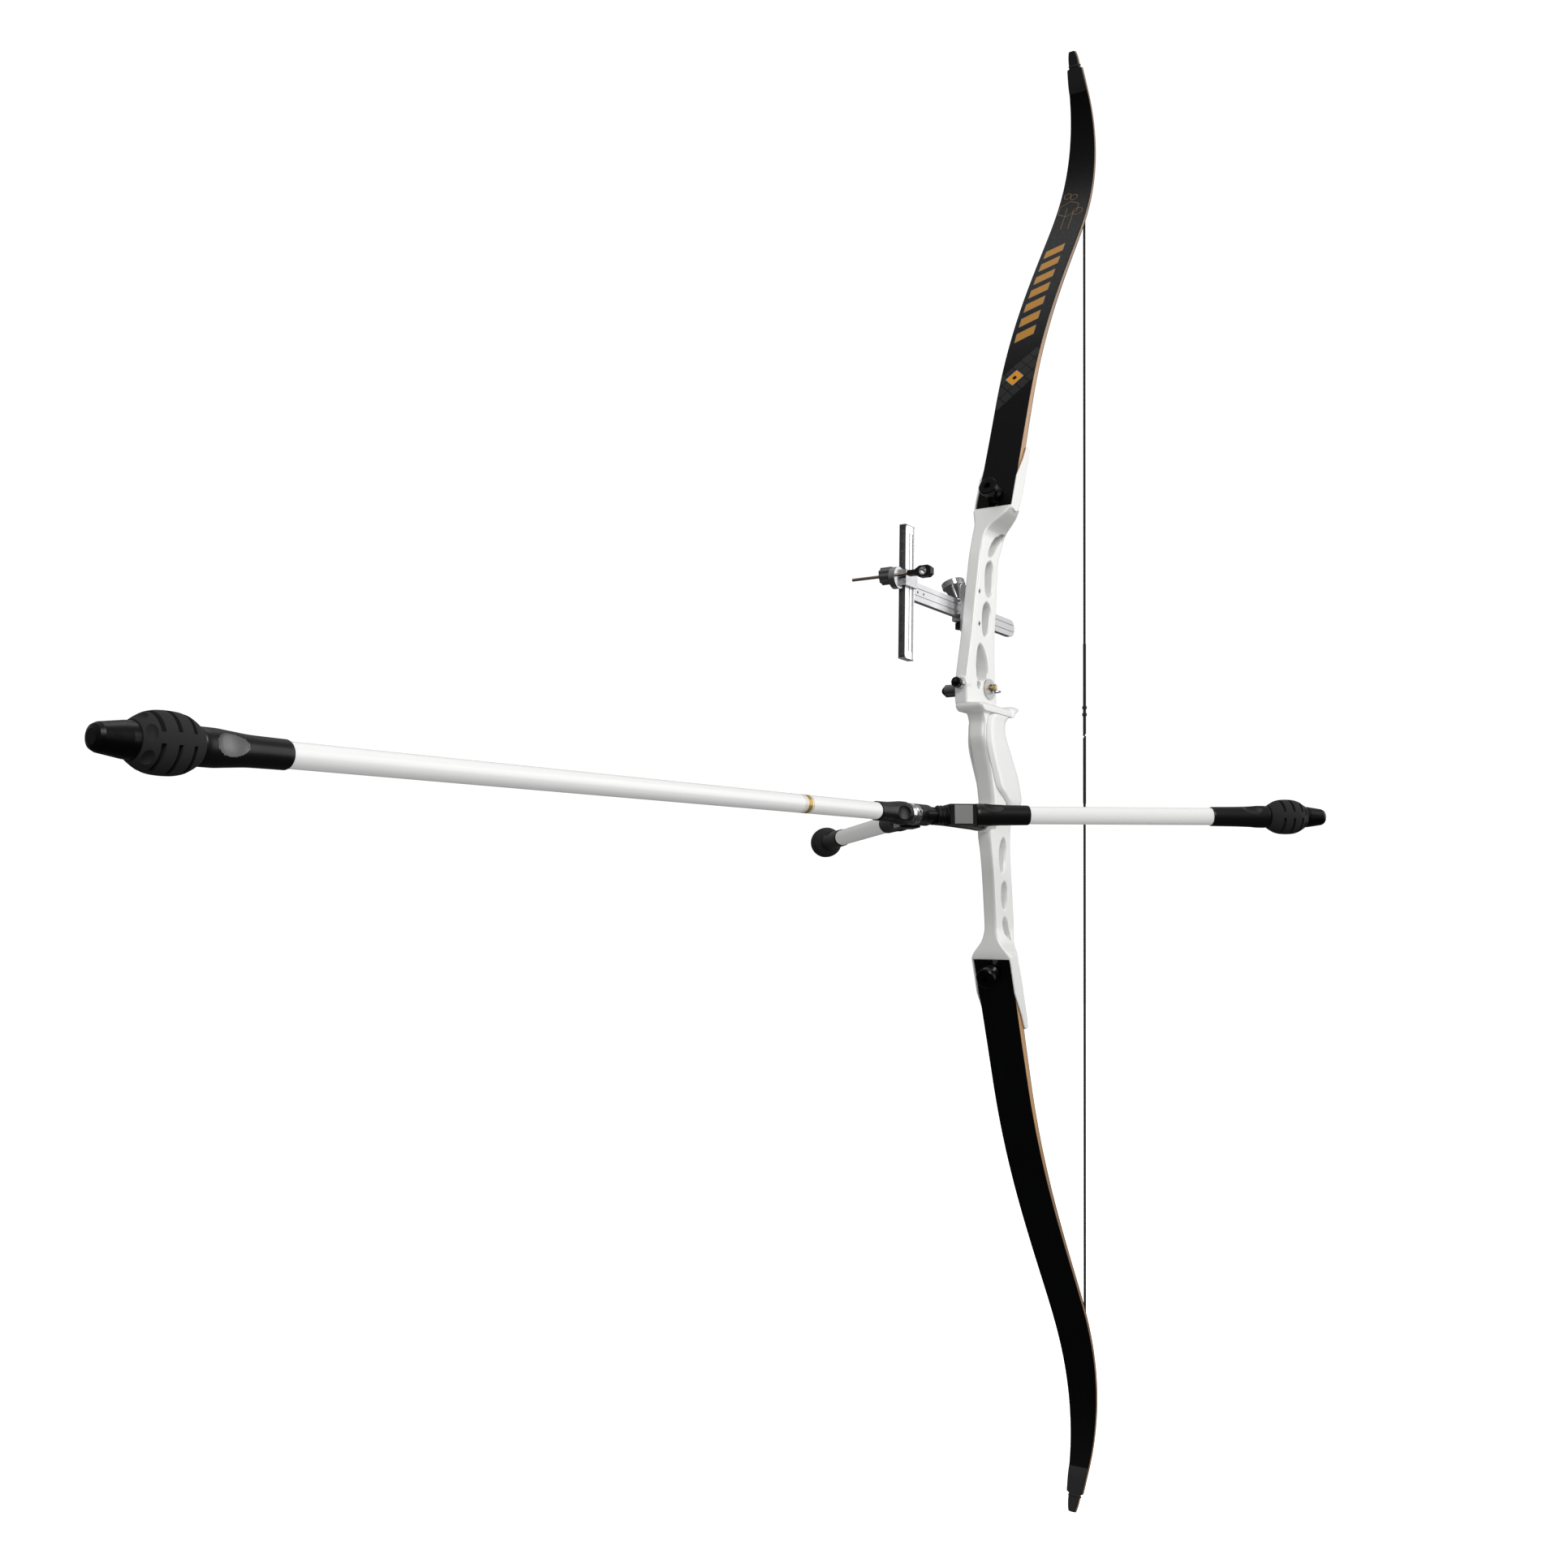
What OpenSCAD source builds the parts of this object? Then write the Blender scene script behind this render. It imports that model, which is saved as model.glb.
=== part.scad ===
// Take-down recurve bow with sight and stabilisers.
// The origin is the throat of the grip. +X points to the archer, +Z up, and the string plane is Y = 0.
// The sight window opens towards -Y, the near side.

/* [Limbs] */
// Distance of each limb's butt from the bow's middle
butt_from_middle = 232.4; // [226:0.2:246]
// Drop of the bow's middle below the throat of the grip
middle_drop = 11; // [6:0.5:16]
// Place of the limb's back at its butt, before or behind the throat
limb_back_x = -12; // [-15:0.5:-9]
// Lean of the limb pocket towards the archer
limb_angle = 19.4; // [18:0.2:22]
// Length of a limb along its back
limb_length = 649; // [630:1:670]
// Width at the butt
limb_butt_w = 39.5; // [38:0.5:41]
// Width along the working part
limb_w = 38.5; // [34:0.5:39]
// Width where the string's shoulders start
limb_tip_w = 17; // [15:0.5:22]
// Thickness at the butt
limb_butt_t = 13; // [12:0.1:14]
// Thickness near the tip
limb_tip_t = 5.2; // [4.6:0.1:6]
// Thickness of each outer laminate
laminate_t = 1.3; // [0.8:0.1:1.8]
// Extra bend of the braced limb towards the archer
belly_bend = 15.2; // [12:0.1:17]
// Bend of the recurve, back towards the target
recurve_bend = 58.4; // [52:0.2:64]
// Station along the limb where the working part starts
hinge_s = 112; // [104:1:124]
// Length of the nose past the string groove
nose_len = 18; // [17:0.5:24]
// Width of the nose past the groove
nose_w = 11.5; // [10:0.5:14]
// Thickness of the tip overlay
overlay_t = 1.8; // [1:0.1:2.6]

/* [String] */
// Diameter of the string
string_d = 2.5; // [2:0.1:3]
// Diameter over the centre serving
serving_d = 3.5; // [3.3:0.1:4.5]
// Diameter of the end loops
loop_d = 3; // [2.4:0.1:3.4]
// Height of the nocking point above the throat
nock_z = 38.5; // [37:0.5:50]
// Height above the throat at which the drawn string bends over the fingers
split_z = 10; // [4:1:11]
// Length of centre serving above the nocking point
serving_up = 78; // [50:1:100]
// Length of centre serving below the nocking point
serving_down = 106; // [60:1:140]

/* [Riser] */
// Thickness of the window and of the lower riser
plate_t = 14; // [13:0.5:16]
// Side offset of the window's near face, so that an arrow passes in the string plane
window_y = 3.5; // [2.5:0.5:5]
// Width of a limb pocket
pocket_w = 43; // [42.8:0.1:46]
// Depth of the pocket block behind the limb's back
pocket_back = 17.5; // [17.2:0.1:20]
// Height of the arrow shelf above the throat
shelf_z = 11.5; // [9:0.5:14]
// Near edge of the arrow shelf
shelf_y = -13; // [-16:0.5:-10]
// Depth of the bevelled recess round a cut-out
recess_deep = 2.6; // [1:0.2:4]
// Width of the riser's core inside the grip
core_w = 19; // [17:0.5:21]

/* [Grip] */
// Width of the grip
grip_w = 28; // [26:0.5:32]
// Height of the grip's foot below the throat
grip_foot = 88; // [84:1:92]

/* [Limb bolts] */
// Distance of the bolt from the limb's butt
bolt_u = 12; // [11:0.5:15]
// Diameter of the bolt's shank
bolt_d = 9.4; // [8:0.2:11]
// Diameter of the bolt's knob
bolt_knob_d = 20; // [16:0.5:24]
// Height of the knob above the limb
bolt_h = 20.5; // [18:0.5:26]

/* [Stabilisers] */
// Height of the stabiliser bushing below the throat
bushing_drop = 104.5; // [102:0.5:107]
// Place of the bushing's face, before the throat
bushing_x = -38; // [-42:0.5:-36]
// Downward lean of the long rod
rod_droop = 1.5; // [0:0.1:4]
// From the bushing's face to the point where the arms meet
v_distance = 130; // [110:1:160]
// Angle of each arm from the long rod's line
arm_angle = 45; // [40:1:50]
// Downward lean of the arms
arm_droop = 0.8; // [0:0.1:3]
// Roll of the bar about the extender
v_roll = 1.7; // [0:0.1:5]
// Diameter of the extender
extender_d = 20; // [17:0.5:22]
// Diameter of the stud threads
stud_d = 7.8; // [7:0.1:8]
// Diameter of the long rod's tube
long_tube_d = 15.5; // [13:0.5:16.5]
// Length of the long rod's bare tube
long_tube_len = 655; // [500:1:760]
// Diameter of a side rod's tube
side_tube_d = 16.8; // [14:0.2:17.6]
// Length of a side rod's bare tube
side_tube_len = 186; // [100:1:260]
// Wall of the tubes
tube_wall = 1.2; // [0.8:0.1:2]
// Length of the ferrules at the dampers
ferrule_len = 60; // [50:1:75]
// Length of the ferrules at the bar
root_ferrule_len = 54; // [45:1:65]
// Largest diameter of a ferrule
ferrule_d = 21.5; // [20:0.5:24]
// Diameter of a damper
damper_d = 34; // [28:0.5:40]
// Length of a damper
damper_len = 38; // [32:1:46]
// Side of the square blocks on the arms
block = 19.5; // [17:0.5:22]
// Diameter of the bar's hub and of the quick disconnect
hub_d = 20; // [18:0.5:24]
// Diameter of an end weight at the damper
weight_d = 20.4; // [18:0.2:24]
// Length of an end weight
weight_len = 22; // [16:1:40]

/* [Sight] */
// Spacing of the sight screws
sight_pitch = 33.3; // [30:0.1:35]
// Height of the upper sight screw's middle between the pair, above the throat
sight_z = 111.8; // [109:0.2:114]
// Place of the sight screws, before the throat
sight_x = -35.6; // [-37:0.2:-33]
// Length of the sight's bar
bar_len = 227.5; // [150:0.5:235]
// Height of the sight's bar
bar_h = 18; // [15:0.5:20]
// Thickness of the sight's bar
bar_t = 6; // [5:0.5:9]
// How far the bar reaches behind the throat
bar_rear = 94; // [40:1:110]
// Length of the upright scale bar
post_len = 131; // [110:1:160]
// Width of the upright bar, front to back
post_w = 19; // [13:0.5:23]
// Thickness of the upright bar
post_t = 6.6; // [6:0.2:11]
// Side offset of the sight's aperture from the string plane
aperture_y = 0; // [-2:0.5:10]

/* [Arrow rest] */
// Height of the plunger above the throat
plunger_z = 32.7; // [30:0.1:36]
// Place of the plunger, before the throat
plunger_x = -12.7; // [-15:0.1:-8]
// Diameter of the plunger's threaded barrel
barrel_d = 7.8; // [7.4:0.1:7.9]
// Diameter of the plunger's tip
tip_d = 4; // [3.4:0.1:4.4]
// Spacing of the spare rest hole, in front of the plunger
rest_hole_pitch = 23.6; // [22:0.2:28]

/* [Hidden] */

// Gap between surfaces that move past each other
running = 0.1;
// Gap between surfaces that lie on each other but belong to different bodies
seat = 0.25;
// Gap between fitted pieces of one body
fit = 0.05;

WHITE = [0.93, 0.93, 0.92];
BLACK = [0.06, 0.06, 0.065];
GREY = [0.35, 0.35, 0.37];
STEEL = [0.75, 0.76, 0.78];
WOOD = [0.83, 0.62, 0.40];

function ramp(v, low, high) = min(1, max(0, (v - low) / (high - low)));
function unit(v) = v / norm(v);

// Closed skin over rings of points, each ring going the same way round
module loft(rings) {
    n = len(rings[0]);
    m = len(rings);
    polyhedron(
        points = [for (ring = rings) each ring],
        faces = concat(
            [[for (j = [0:n - 1]) j]],
            [for (i = [0:m - 2], j = [0:n - 1]) [i * n + j, (i + 1) * n + (j + 1) % n, i * n + (j + 1) % n]],
            [for (i = [0:m - 2], j = [0:n - 1]) [i * n + j, (i + 1) * n + j, (i + 1) * n + (j + 1) % n]],
            [[for (j = [n - 1:-1:0]) (m - 1) * n + j]]));
}

// Round tube along a flat path; flat is the normal of the path's plane
module sweep(path, d, flat, sides = 8, closed = false) {
    m = len(path);
    rings = [for (i = [0:m - 1])
        let (before = closed ? path[(i + m - 1) % m] : path[max(0, i - 1)],
            after = closed ? path[(i + 1) % m] : path[min(m - 1, i + 1)],
            out = cross(unit(after - before), flat))
        [for (j = [0:sides - 1]) path[i] + d / 2 * (cos(360 * j / sides) * flat + sin(360 * j / sides) * out)]];
    if (closed)
        polyhedron(points = [for (ring = rings) each ring],
            faces = [for (i = [0:m - 1], j = [0:sides - 1], k = [0:1])
                let (next = (i + 1) % m, jn = (j + 1) % sides)
                k == 0 ? [i * sides + j, next * sides + jn, i * sides + jn]
                    : [i * sides + j, next * sides + j, next * sides + jn]]);
    else loft(rings);
}

// Solid turned about the X axis from points of [radius, x]
module turned(profile) {
    rotate([0, 90, 0]) rotate_extrude($fn = 48) polygon(profile);
}

// Rod along X from one place to another
module rod_x(d, from, to) {
    translate([from, 0, 0]) rotate([0, 90, 0]) cylinder(d = d, h = to - from, $fn = 40);
}

// Rod along Y from one place to another
module rod_y(d, from, to) {
    translate([0, from, 0]) rotate([-90, 0, 0]) cylinder(d = d, h = to - from, $fn = 40);
}

// Plate drawn in X and Z, from one side offset to another
module side_plate(outline, from, to) {
    translate([0, to, 0]) rotate([90, 0, 0]) linear_extrude(height = to - from) polygon(outline);
}

// Outline of a disc with grooves round its rim
function grooved(d, grooves, deep) = [for (i = [0:grooves * 4 - 1])
    let (r = d / 2 - ((i % 4) < 2 ? 0 : deep), a = 90 * i / grooves) [r * cos(a), r * sin(a)]];

// Limb curve

fade_s = hinge_s + 18;
belly_s = limb_length - 277;
recurve_s = limb_length - 268;
straight_s = limb_length - 49;
groove_s = limb_length - nose_len;
limb_steps = 46;
limb_ds = limb_length / limb_steps;
shoulder_s = groove_s - 1.6;

// Bend of the limb's back relative to its butt, towards the archer
function limb_bend(s) = belly_bend * sin(90 * ramp(s, fade_s, belly_s))
    - recurve_bend * pow(ramp(s, recurve_s, straight_s), 2);

// Points along the back, in the butt's frame, as [towards the belly, along the limb]
limb_curve = [for (i = 0, x = 0, z = 0; i <= limb_steps;
    x = x + limb_ds * sin(limb_bend((i + 0.5) * limb_ds)),
    z = z + limb_ds * cos(limb_bend((i + 0.5) * limb_ds)),
    i = i + 1) [x, z]];

function limb_point(s) = let (f = s / limb_ds, i = min(limb_steps - 1, floor(f)), r = f - i)
    limb_curve[i] * (1 - r) + limb_curve[i + 1] * r;

// Point at a depth below the back, in the butt's frame
function limb_at(s, deep) = let (p = limb_point(s), b = limb_bend(s))
    [p[0] + deep * cos(b), p[1] - deep * sin(b)];

function limb_t(s) = limb_tip_t + (limb_butt_t - limb_tip_t) * pow(1 - min(1, s / limb_length), 2.5);

function blade_w(s) = let (u = ramp(s, recurve_s, limb_length))
    limb_w + (limb_butt_w - limb_w) * (1 - ramp(s, 0, 90)) - (limb_w - limb_tip_w + 4) * pow(u, 2.3);

function nose_width(s) = let (u = ramp(s, groove_s, limb_length)) nose_w * sqrt(1 - 0.72 * u * u);

function limb_width(s) = s <= shoulder_s ? blade_w(s) : nose_width(s);

blade_stations = [for (i = [0:40]) hinge_s + seat + (shoulder_s - hinge_s - seat) * i / 40];
nose_stations = [for (i = [0:5]) groove_s + (limb_length - groove_s) * i / 5];
butt_stations = [for (i = [0:7]) hinge_s * i / 7];
overlay_stations = [for (i = [38:40]) blade_stations[i]];

// Strip of the limb between two depths below its back
module limb_strip(stations, top, bottom) {
    loft([for (s = stations)
        let (w = limb_width(s) / 2, a = limb_at(s, top(s)), b = limb_at(s, bottom(s)))
        [[a[0], -w, a[1]], [b[0], -w, b[1]], [b[0], w, b[1]], [a[0], w, a[1]]]]);
}

// Places its children in the frame of the upper (1) or lower (-1) limb's butt
module at_limb(side) {
    translate([0, 0, -middle_drop]) mirror([0, 0, side < 0 ? 1 : 0])
        translate([limb_back_x, 0, butt_from_middle]) rotate([0, limb_angle, 0]) children();
}

// Limb

module bolt_slot() {
    slot_w = bolt_d + 3;
    translate([-5, 0, bolt_u]) rotate([0, 90, 0]) cylinder(d = slot_w, h = limb_butt_t + 10, $fn = 40);
    translate([-5, -slot_w / 2, -5]) cube([limb_butt_t + 10, slot_w, bolt_u + 5]);
}

dovetail_u = 40;
dovetail_d = 8;

module limb_butt(side) {
    color(WOOD) at_limb(side) difference() {
        limb_strip(butt_stations, function (s) 0, function (s) limb_t(s));
        bolt_slot();
        translate([6, 0, dovetail_u]) rod_x(dovetail_d + 2 * fit, 0, limb_butt_t);
    }
}

module limb_core(side) {
    color(WOOD) at_limb(side) limb_strip(concat(blade_stations, nose_stations),
        function (s) laminate_t, function (s) limb_t(s) - laminate_t);
}

module limb_back(side) {
    color(BLACK) at_limb(side) limb_strip(concat(blade_stations, nose_stations),
        function (s) 0, function (s) laminate_t);
}

module limb_belly(side) {
    color(BLACK) at_limb(side) limb_strip(concat(blade_stations, nose_stations),
        function (s) limb_t(s) - laminate_t, function (s) limb_t(s));
}

module tip_overlay(side) {
    rise = function (s) -0.3 - (overlay_t - 0.3) * ramp(s, overlay_stations[0], overlay_stations[1]);
    color([0.03, 0.03, 0.03]) at_limb(side)
        limb_strip(concat(overlay_stations, nose_stations), rise, function (s) 0);
}

// Dovetail stud under each butt, seated in the pocket's bushing
module limb_dovetail(side) {
    color(STEEL) at_limb(side) translate([0, 0, dovetail_u]) rod_x(dovetail_d, 6 + fit, pocket_floor + 4);
}

// String

// A station of the limb as [x, height from the bow's middle]
function bow_at(s, deep) = let (p = limb_at(s, deep))
    [limb_back_x + p[0] * cos(limb_angle) + p[1] * sin(limb_angle),
        butt_from_middle + p[1] * cos(limb_angle) - p[0] * sin(limb_angle)];

// Station where the limb runs parallel to the string line
leave_s = recurve_s + (straight_s - recurve_s) * sqrt((limb_angle + belly_bend) / recurve_bend);
loop_gap = 0.2;
loop_s = groove_s + loop_d / 2 + 0.4;
// The string turns about the loop's strand on the belly
loop_deep = limb_t(loop_s) + loop_d / 2 + loop_gap;
string_start_s = loop_s - loop_d / 2 - 0.35;
string_depth = function (s) limb_t(s) + string_d / 2 + seat;
string_x = bow_at(leave_s, string_depth(leave_s))[0];
// The halves of the string lie side by side for this length from their meeting point
lap = 22;

function string_path(end_h) = concat(
    [for (i = [0:9]) let (s = string_start_s + (leave_s - string_start_s) * i / 9, p = bow_at(s, string_depth(s)))
        [p[0], 0, p[1]]],
    [[string_x, 0, end_h]]);

// Keeps the far (1) or near (-1) half of what lies within the lap, and all that lies beyond it
module lapped(side) {
    difference() {
        children();
        translate([string_x - 5, side > 0 ? -10 + running / 2 : -running / 2,
            split_z - lap]) cube([10, 10, 2 * lap]);
    }
}

module string_half(side) {
    end_h = side > 0 ? split_z + middle_drop + seat / 2 : -split_z - middle_drop + seat / 2;
    color(BLACK) lapped(side) translate([0, 0, -middle_drop]) mirror([0, 0, side < 0 ? 1 : 0])
        sweep(string_path(end_h), string_d, [0, 1, 0]);
}

// End loop round the nose, in the groove
module string_loop(side) {
    half_y = nose_width(loop_s) / 2 + loop_d / 2 + loop_gap;
    top = -overlay_t - loop_d / 2 - loop_gap;
    corner = 1.9;
    along = limb_bend(loop_s);
    path = [for (q = [0:3], a = [0:30:90])
        let (deep = (q == 0 || q == 3 ? loop_deep - corner : top + corner) + corner * cos(a + 90 * q),
            y = (q < 2 ? half_y - corner : corner - half_y) + corner * sin(a + 90 * q), p = limb_at(loop_s, deep))
        [p[0], y, p[1]]];
    color(BLACK) at_limb(side) sweep(path, loop_d, [sin(along), 0, cos(along)], 8, true);
}

module serving(side) {
    from = side > 0 ? split_z + seat / 2 : nock_z - serving_down;
    to = side > 0 ? nock_z + serving_up : split_z - seat / 2;
    color(BLACK) lapped(side) translate([string_x, 0, from]) difference() {
        cylinder(d = serving_d, h = to - from, $fn = 24);
        translate([0, 0, -1]) cylinder(d = string_d + 2 * fit, h = to - from + 2, $fn = 24);
    }
}

module nocking_point() {
    for (step = [-1, 1]) color([0.75, 0.6, 0.3]) translate([string_x, 0, nock_z + step * 4 - 1.5]) difference() {
        cylinder(d = serving_d + 1.8, h = 3, $fn = 24);
        translate([0, 0, -1]) cylinder(d = serving_d + 2 * fit, h = 5, $fn = 24);
    }
}

// Riser

upper_butt_z = butt_from_middle - middle_drop;
lower_butt_z = -butt_from_middle - middle_drop;
window_far = window_y + plate_t;
half_t = plate_t / 2;
half_core = core_w / 2;
pocket_floor = limb_butt_t + 0.8;
pad_clear = seat;
side_front = -63.3;
foot_z = -grip_foot - 2;
// How far the pocket's front corner stands before the limb's back, at its shoulder
shift = limb_back_x + 12;

// Stations of the riser's body: [z, front, back, near side, far side, front chamfer, back chamfer]
riser_stations = [
    [lower_butt_z - 1.6, -12 + shift, 4 + shift, -pocket_w / 2, pocket_w / 2, 1, 1],
    [lower_butt_z + 8.4, -14 + shift, 12 + shift, -pocket_w / 2 + 0.5, pocket_w / 2 - 0.5, 1.2, 1.2],
    [lower_butt_z + 13.4, -14.3 + shift, 21 + shift, -17, 17, 1.4, 2],
    [lower_butt_z + 20.4, -14.5 + shift, 29 + shift, -11, 11, 1.4, 2],
    [lower_butt_z + 26.4, -14.7 + shift, 31 + shift, -half_t - 1.2, half_t + 1.2, 1.4, 2.4],
    [lower_butt_z + 34.4, -15.5 + shift, 30.5 + shift, -half_t, half_t, 1.4, 2.4],
    [-190, -18.5, 26, -half_t, half_t, 1.4, 2.4],
    [-160, -22.5, 21, -half_t, half_t, 1.4, 2.4],
    [-136, -27, 18, -half_t, half_t, 1.4, 2.4],
    [-118, -31.5, 16.5, -half_t - 0.5, half_t + 0.5, 2, 2.4],
    [foot_z - 12, -32, 16, -half_core + 0.8, half_core - 0.8, 3, 2.4],
    [foot_z, -28, 15, -half_core, half_core, 3.6, 2.4],
    [foot_z + 2, -27.5, 4, -half_core, half_core, 3.6, 1],
    [-74, -30.5, 0, -half_core, half_core, 3.8, 1],
    [-56, -36, -4, -half_core, half_core, 3.8, 1],
    [-38, -43.5, -7, -half_core, half_core, 3.8, 1],
    [-20, -50.5, -9, -half_core, half_core, 3.8, 1],
    [-8, -50, -9, -half_core, half_core, 3.6, 1],
    [0, -53, -9, -half_core, half_core, 3, 1],
    [3.5, -57, -8, -half_core, half_core, 2.6, 1],
    [4.5, -59, 5, shelf_y + 1, window_far - 1, 2.4, 1],
    [shelf_z - 1.5, side_front + 0.5, 5.4, shelf_y, window_far, 1.6, 1],
    [shelf_z, side_front + 1, 5, shelf_y + 1, window_far, 1.4, 1],
    [shelf_z + 0.8, side_front + 0.5, 5.4, window_y + 0.2, window_far, 1.3, 1.4],
    [20, side_front, 5.6, window_y, window_far, 1.3, 2],
    [31, side_front, 4.6, window_y, window_far, 1.3, 2.4],
    [48, -60, 1.6, window_y, window_far, 1.3, 2.4],
    [82, -51.5, 0.8, window_y, window_far, 1.3, 2.4],
    [117, -45, 4.5, window_y, window_far, 1.3, 2.4],
    [150, -38.2, 8.5, window_y, window_far, 1.3, 2.4],
    [upper_butt_z - 61.4, -36.2, 10.5, window_y, window_far, 1.3, 2.4],
    [upper_butt_z - 52.4, -34 + shift, 14.5 + shift, window_y, window_far, 1.3, 2.4],
    [upper_butt_z - 43.4, -31 + shift, 20.5 + shift, window_y, window_far, 1.3, 2.4],
    [upper_butt_z - 34.4, -28 + shift, 26 + shift, window_y - 0.8, window_far - 0.2, 1.3, 2.4],
    [upper_butt_z - 27.4, -25.6 + shift, 27 + shift, window_y - 4.5, window_far, 1.3, 2.4],
    [upper_butt_z - 22.4, -23.8 + shift, 24 + shift, window_y - 11, window_far, 1.3, 2],
    [upper_butt_z - 17.4, -22 + shift, 17 + shift, -16.5, window_far + 1.6, 1.3, 2],
    [upper_butt_z - 11.4, -20 + shift, 9 + shift, -pocket_w / 2 + 0.3, pocket_w / 2 - 0.4, 1.2, 1.2],
    [upper_butt_z - 3.4, -17 + shift, 3 + shift, -pocket_w / 2, pocket_w / 2, 1, 1]];

function chamfered(z, front, back, near, far, cf, cb) = [
    [front + cf, near, z], [back - cb, near, z], [back, near + cb, z], [back, far - cb, z],
    [back - cb, far, z], [front + cf, far, z], [front, far - cf, z], [front, near + cf, z]];

// Bevelled cut-outs as [x, z] outlines, round their middles, and the far ends of the bevel
upper_cutouts = [
    [[13, 203], [4, 196], [-8, 185], [-17, 174], [-16, 170], [-10, 169], [-2, 174], [8, 186], [13, 196]],
    [[-17, 161], [-23, 156], [-26, 147], [-26, 136], [-22, 128], [-16, 126], [-11, 130], [-8, 140], [-8, 152], [-12, 160]],
    [[-27, 119], [-19, 114], [-12, 107], [-10, 94], [-15, 84], [-21, 83], [-27, 89], [-31, 99], [-31, 112]],
    [[-36, 77], [-27, 72], [-17, 63], [-14, 52], [-14, 42], [-22, 40], [-36, 40], [-43, 43], [-44, 54], [-42, 67]]];
lower_cutouts = [
    [[-2, -119], [-8, -125], [-11, -136], [-9, -150], [-4, -157], [2, -153], [6, -142], [6, -130], [3, -121]],
    [[0, -163], [-5, -170], [-5, -184], [0, -193], [6, -192], [9, -184], [9, -170], [6, -164]],
    [[1, -199], [-2, -206], [1, -215], [8, -223], [14, -225], [15, -217], [11, -206], [6, -200]]];

function middle_of(outline) = [for (k = [0:1]) let (list = [for (p = outline) p[k]]) (min(list) + max(list)) / 2];
function shrunk(outline, by) = let (c = middle_of(outline)) [for (p = outline)
    let (d = norm(p - c)) c + (p - c) * (1 - by / d)];

module cutout(outline, near, far) {
    side_plate(outline, near - 5, near + recess_deep);
    side_plate(outline, far - recess_deep, far + 5);
    side_plate(shrunk(outline, 2.2), near - 5, far + 5);
}

// Pocket block of one limb, in the butt's frame
module pocket_block() {
    rotate([90, 0, 0]) linear_extrude(height = pocket_w, center = true) polygon([
        [-1.5, -10], [-1.5, 34], [limb_t(60) - 5, 60], [limb_t(72) - 2.5, 74], [limb_t(74) + 1, 77],
        [pocket_back - 1, 76], [pocket_back + 0.2, 68], [pocket_back, 20], [pocket_back, -10]]);
    rotate([90, 0, 0]) linear_extrude(height = 17, center = true) polygon([
        [pocket_back - 2, -11], [pocket_back - 2, 66], [pocket_back + 2, 62], [30, 38], [36, 22], [37, -2],
        [34, -11]]);
}

module pocket_cuts() {
    w = limb_butt_w + 0.8;
    rotate([90, 0, 0]) linear_extrude(height = w, center = true) polygon([
        [-20, -1.5], [pocket_floor, -1.5], [pocket_floor, 44], [limb_t(46) + pad_clear, 46],
        [limb_t(80) + pad_clear, 80], [limb_t(80), 90], [-20, 90]]);
    translate([0, 0, bolt_u]) rod_x(bolt_d + 2 * running, 0, 50);
    translate([0, 0, dovetail_u]) rod_x(dovetail_d * 2, 0, pocket_floor + 6);
}

module riser() {
    color(WHITE) difference() {
        union() {
            loft([for (p = riser_stations) chamfered(p[0], p[1], p[2], p[3], p[4], p[5], p[6])]);
            for (side = [-1, 1]) at_limb(side) pocket_block();
            at_stab() rod_x(22, 0, 16);
            translate([0, window_y + half_t, plunger_z - 1.7]) rod_x(15, side_front - 1.4, side_front + 8);
        }
        for (side = [-1, 1]) at_limb(side) pocket_cuts();
        for (outline = upper_cutouts) cutout(outline, window_y, window_far);
        for (outline = lower_cutouts) cutout(outline, -half_t, half_t);
        at_stab() rod_x(bushing_od, -1, 22);
        translate([0, window_y + half_t, plunger_z - 1.7]) rod_x(8, side_front - 5, side_front + 16);
        translate([plunger_x, 0, plunger_z]) rod_y(barrel_d + 2 * fit, window_y - 5, window_far + 5);
        translate([plunger_x - rest_hole_pitch, 0, plunger_z]) rod_y(7.9, window_y - 5, window_far + 5);
        for (step = [-0.5, 0.5]) translate([sight_x, 0, sight_z + step * sight_pitch])
            rod_y(sight_screw_d + 2 * fit, window_y - 5, window_far + 5);
    }
}

// Grip

// Stations of the grip: [z, front seam, back, half width]
grip_stations = [
    [-grip_foot, 6, 36, grip_w / 2 - 2], [-80, -6, 37.5, grip_w / 2 - 0.5], [-70, -22, 33.5, grip_w / 2],
    [-56, -31, 27, grip_w / 2], [-44, -38, 18, grip_w / 2], [-34, -43, 11, grip_w / 2],
    [-22, -46, 3, grip_w / 2 - 0.6], [-11, -46, -1.6, grip_w / 2 - 1], [-4, -44, -0.6, grip_w / 2 - 1],
    [1, -40, 3.6, grip_w / 2 - 0.6], [3.2, -36, 8, grip_w / 2 - 0.6], [4.2, 5.8, 14, grip_w / 2 - 1],
    [8, 5.8, 27, grip_w / 2 - 2], [12, 6.4, 35, grip_w / 2 - 3.5], [15, 9, 37, grip_w / 2 - 6],
    [16.6, 14, 33, grip_w / 2 - 8.5]];

function grip_ring(z, front, back, half) = let (run = min(9, (back - front) / 3), cheek = min(half_core + 0.6, half))
    [[front + run, -half, z], [back - run * 1.3, -half * 0.94, z], [back - run * 0.35, -half * 0.66, z],
        [back, -half * 0.3, z], [back, half * 0.3, z], [back - run * 0.35, half * 0.66, z],
        [back - run * 1.3, half * 0.94, z], [front + run, half, z], [front, cheek, z], [front, -cheek, z]];

// Stations of the channel for the riser's core: [z, back]
core_back = [for (p = riser_stations) if (p[0] >= foot_z + 2 && p[0] <= 3.5) [p[2] + fit + 0.1, p[0]]];

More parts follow.
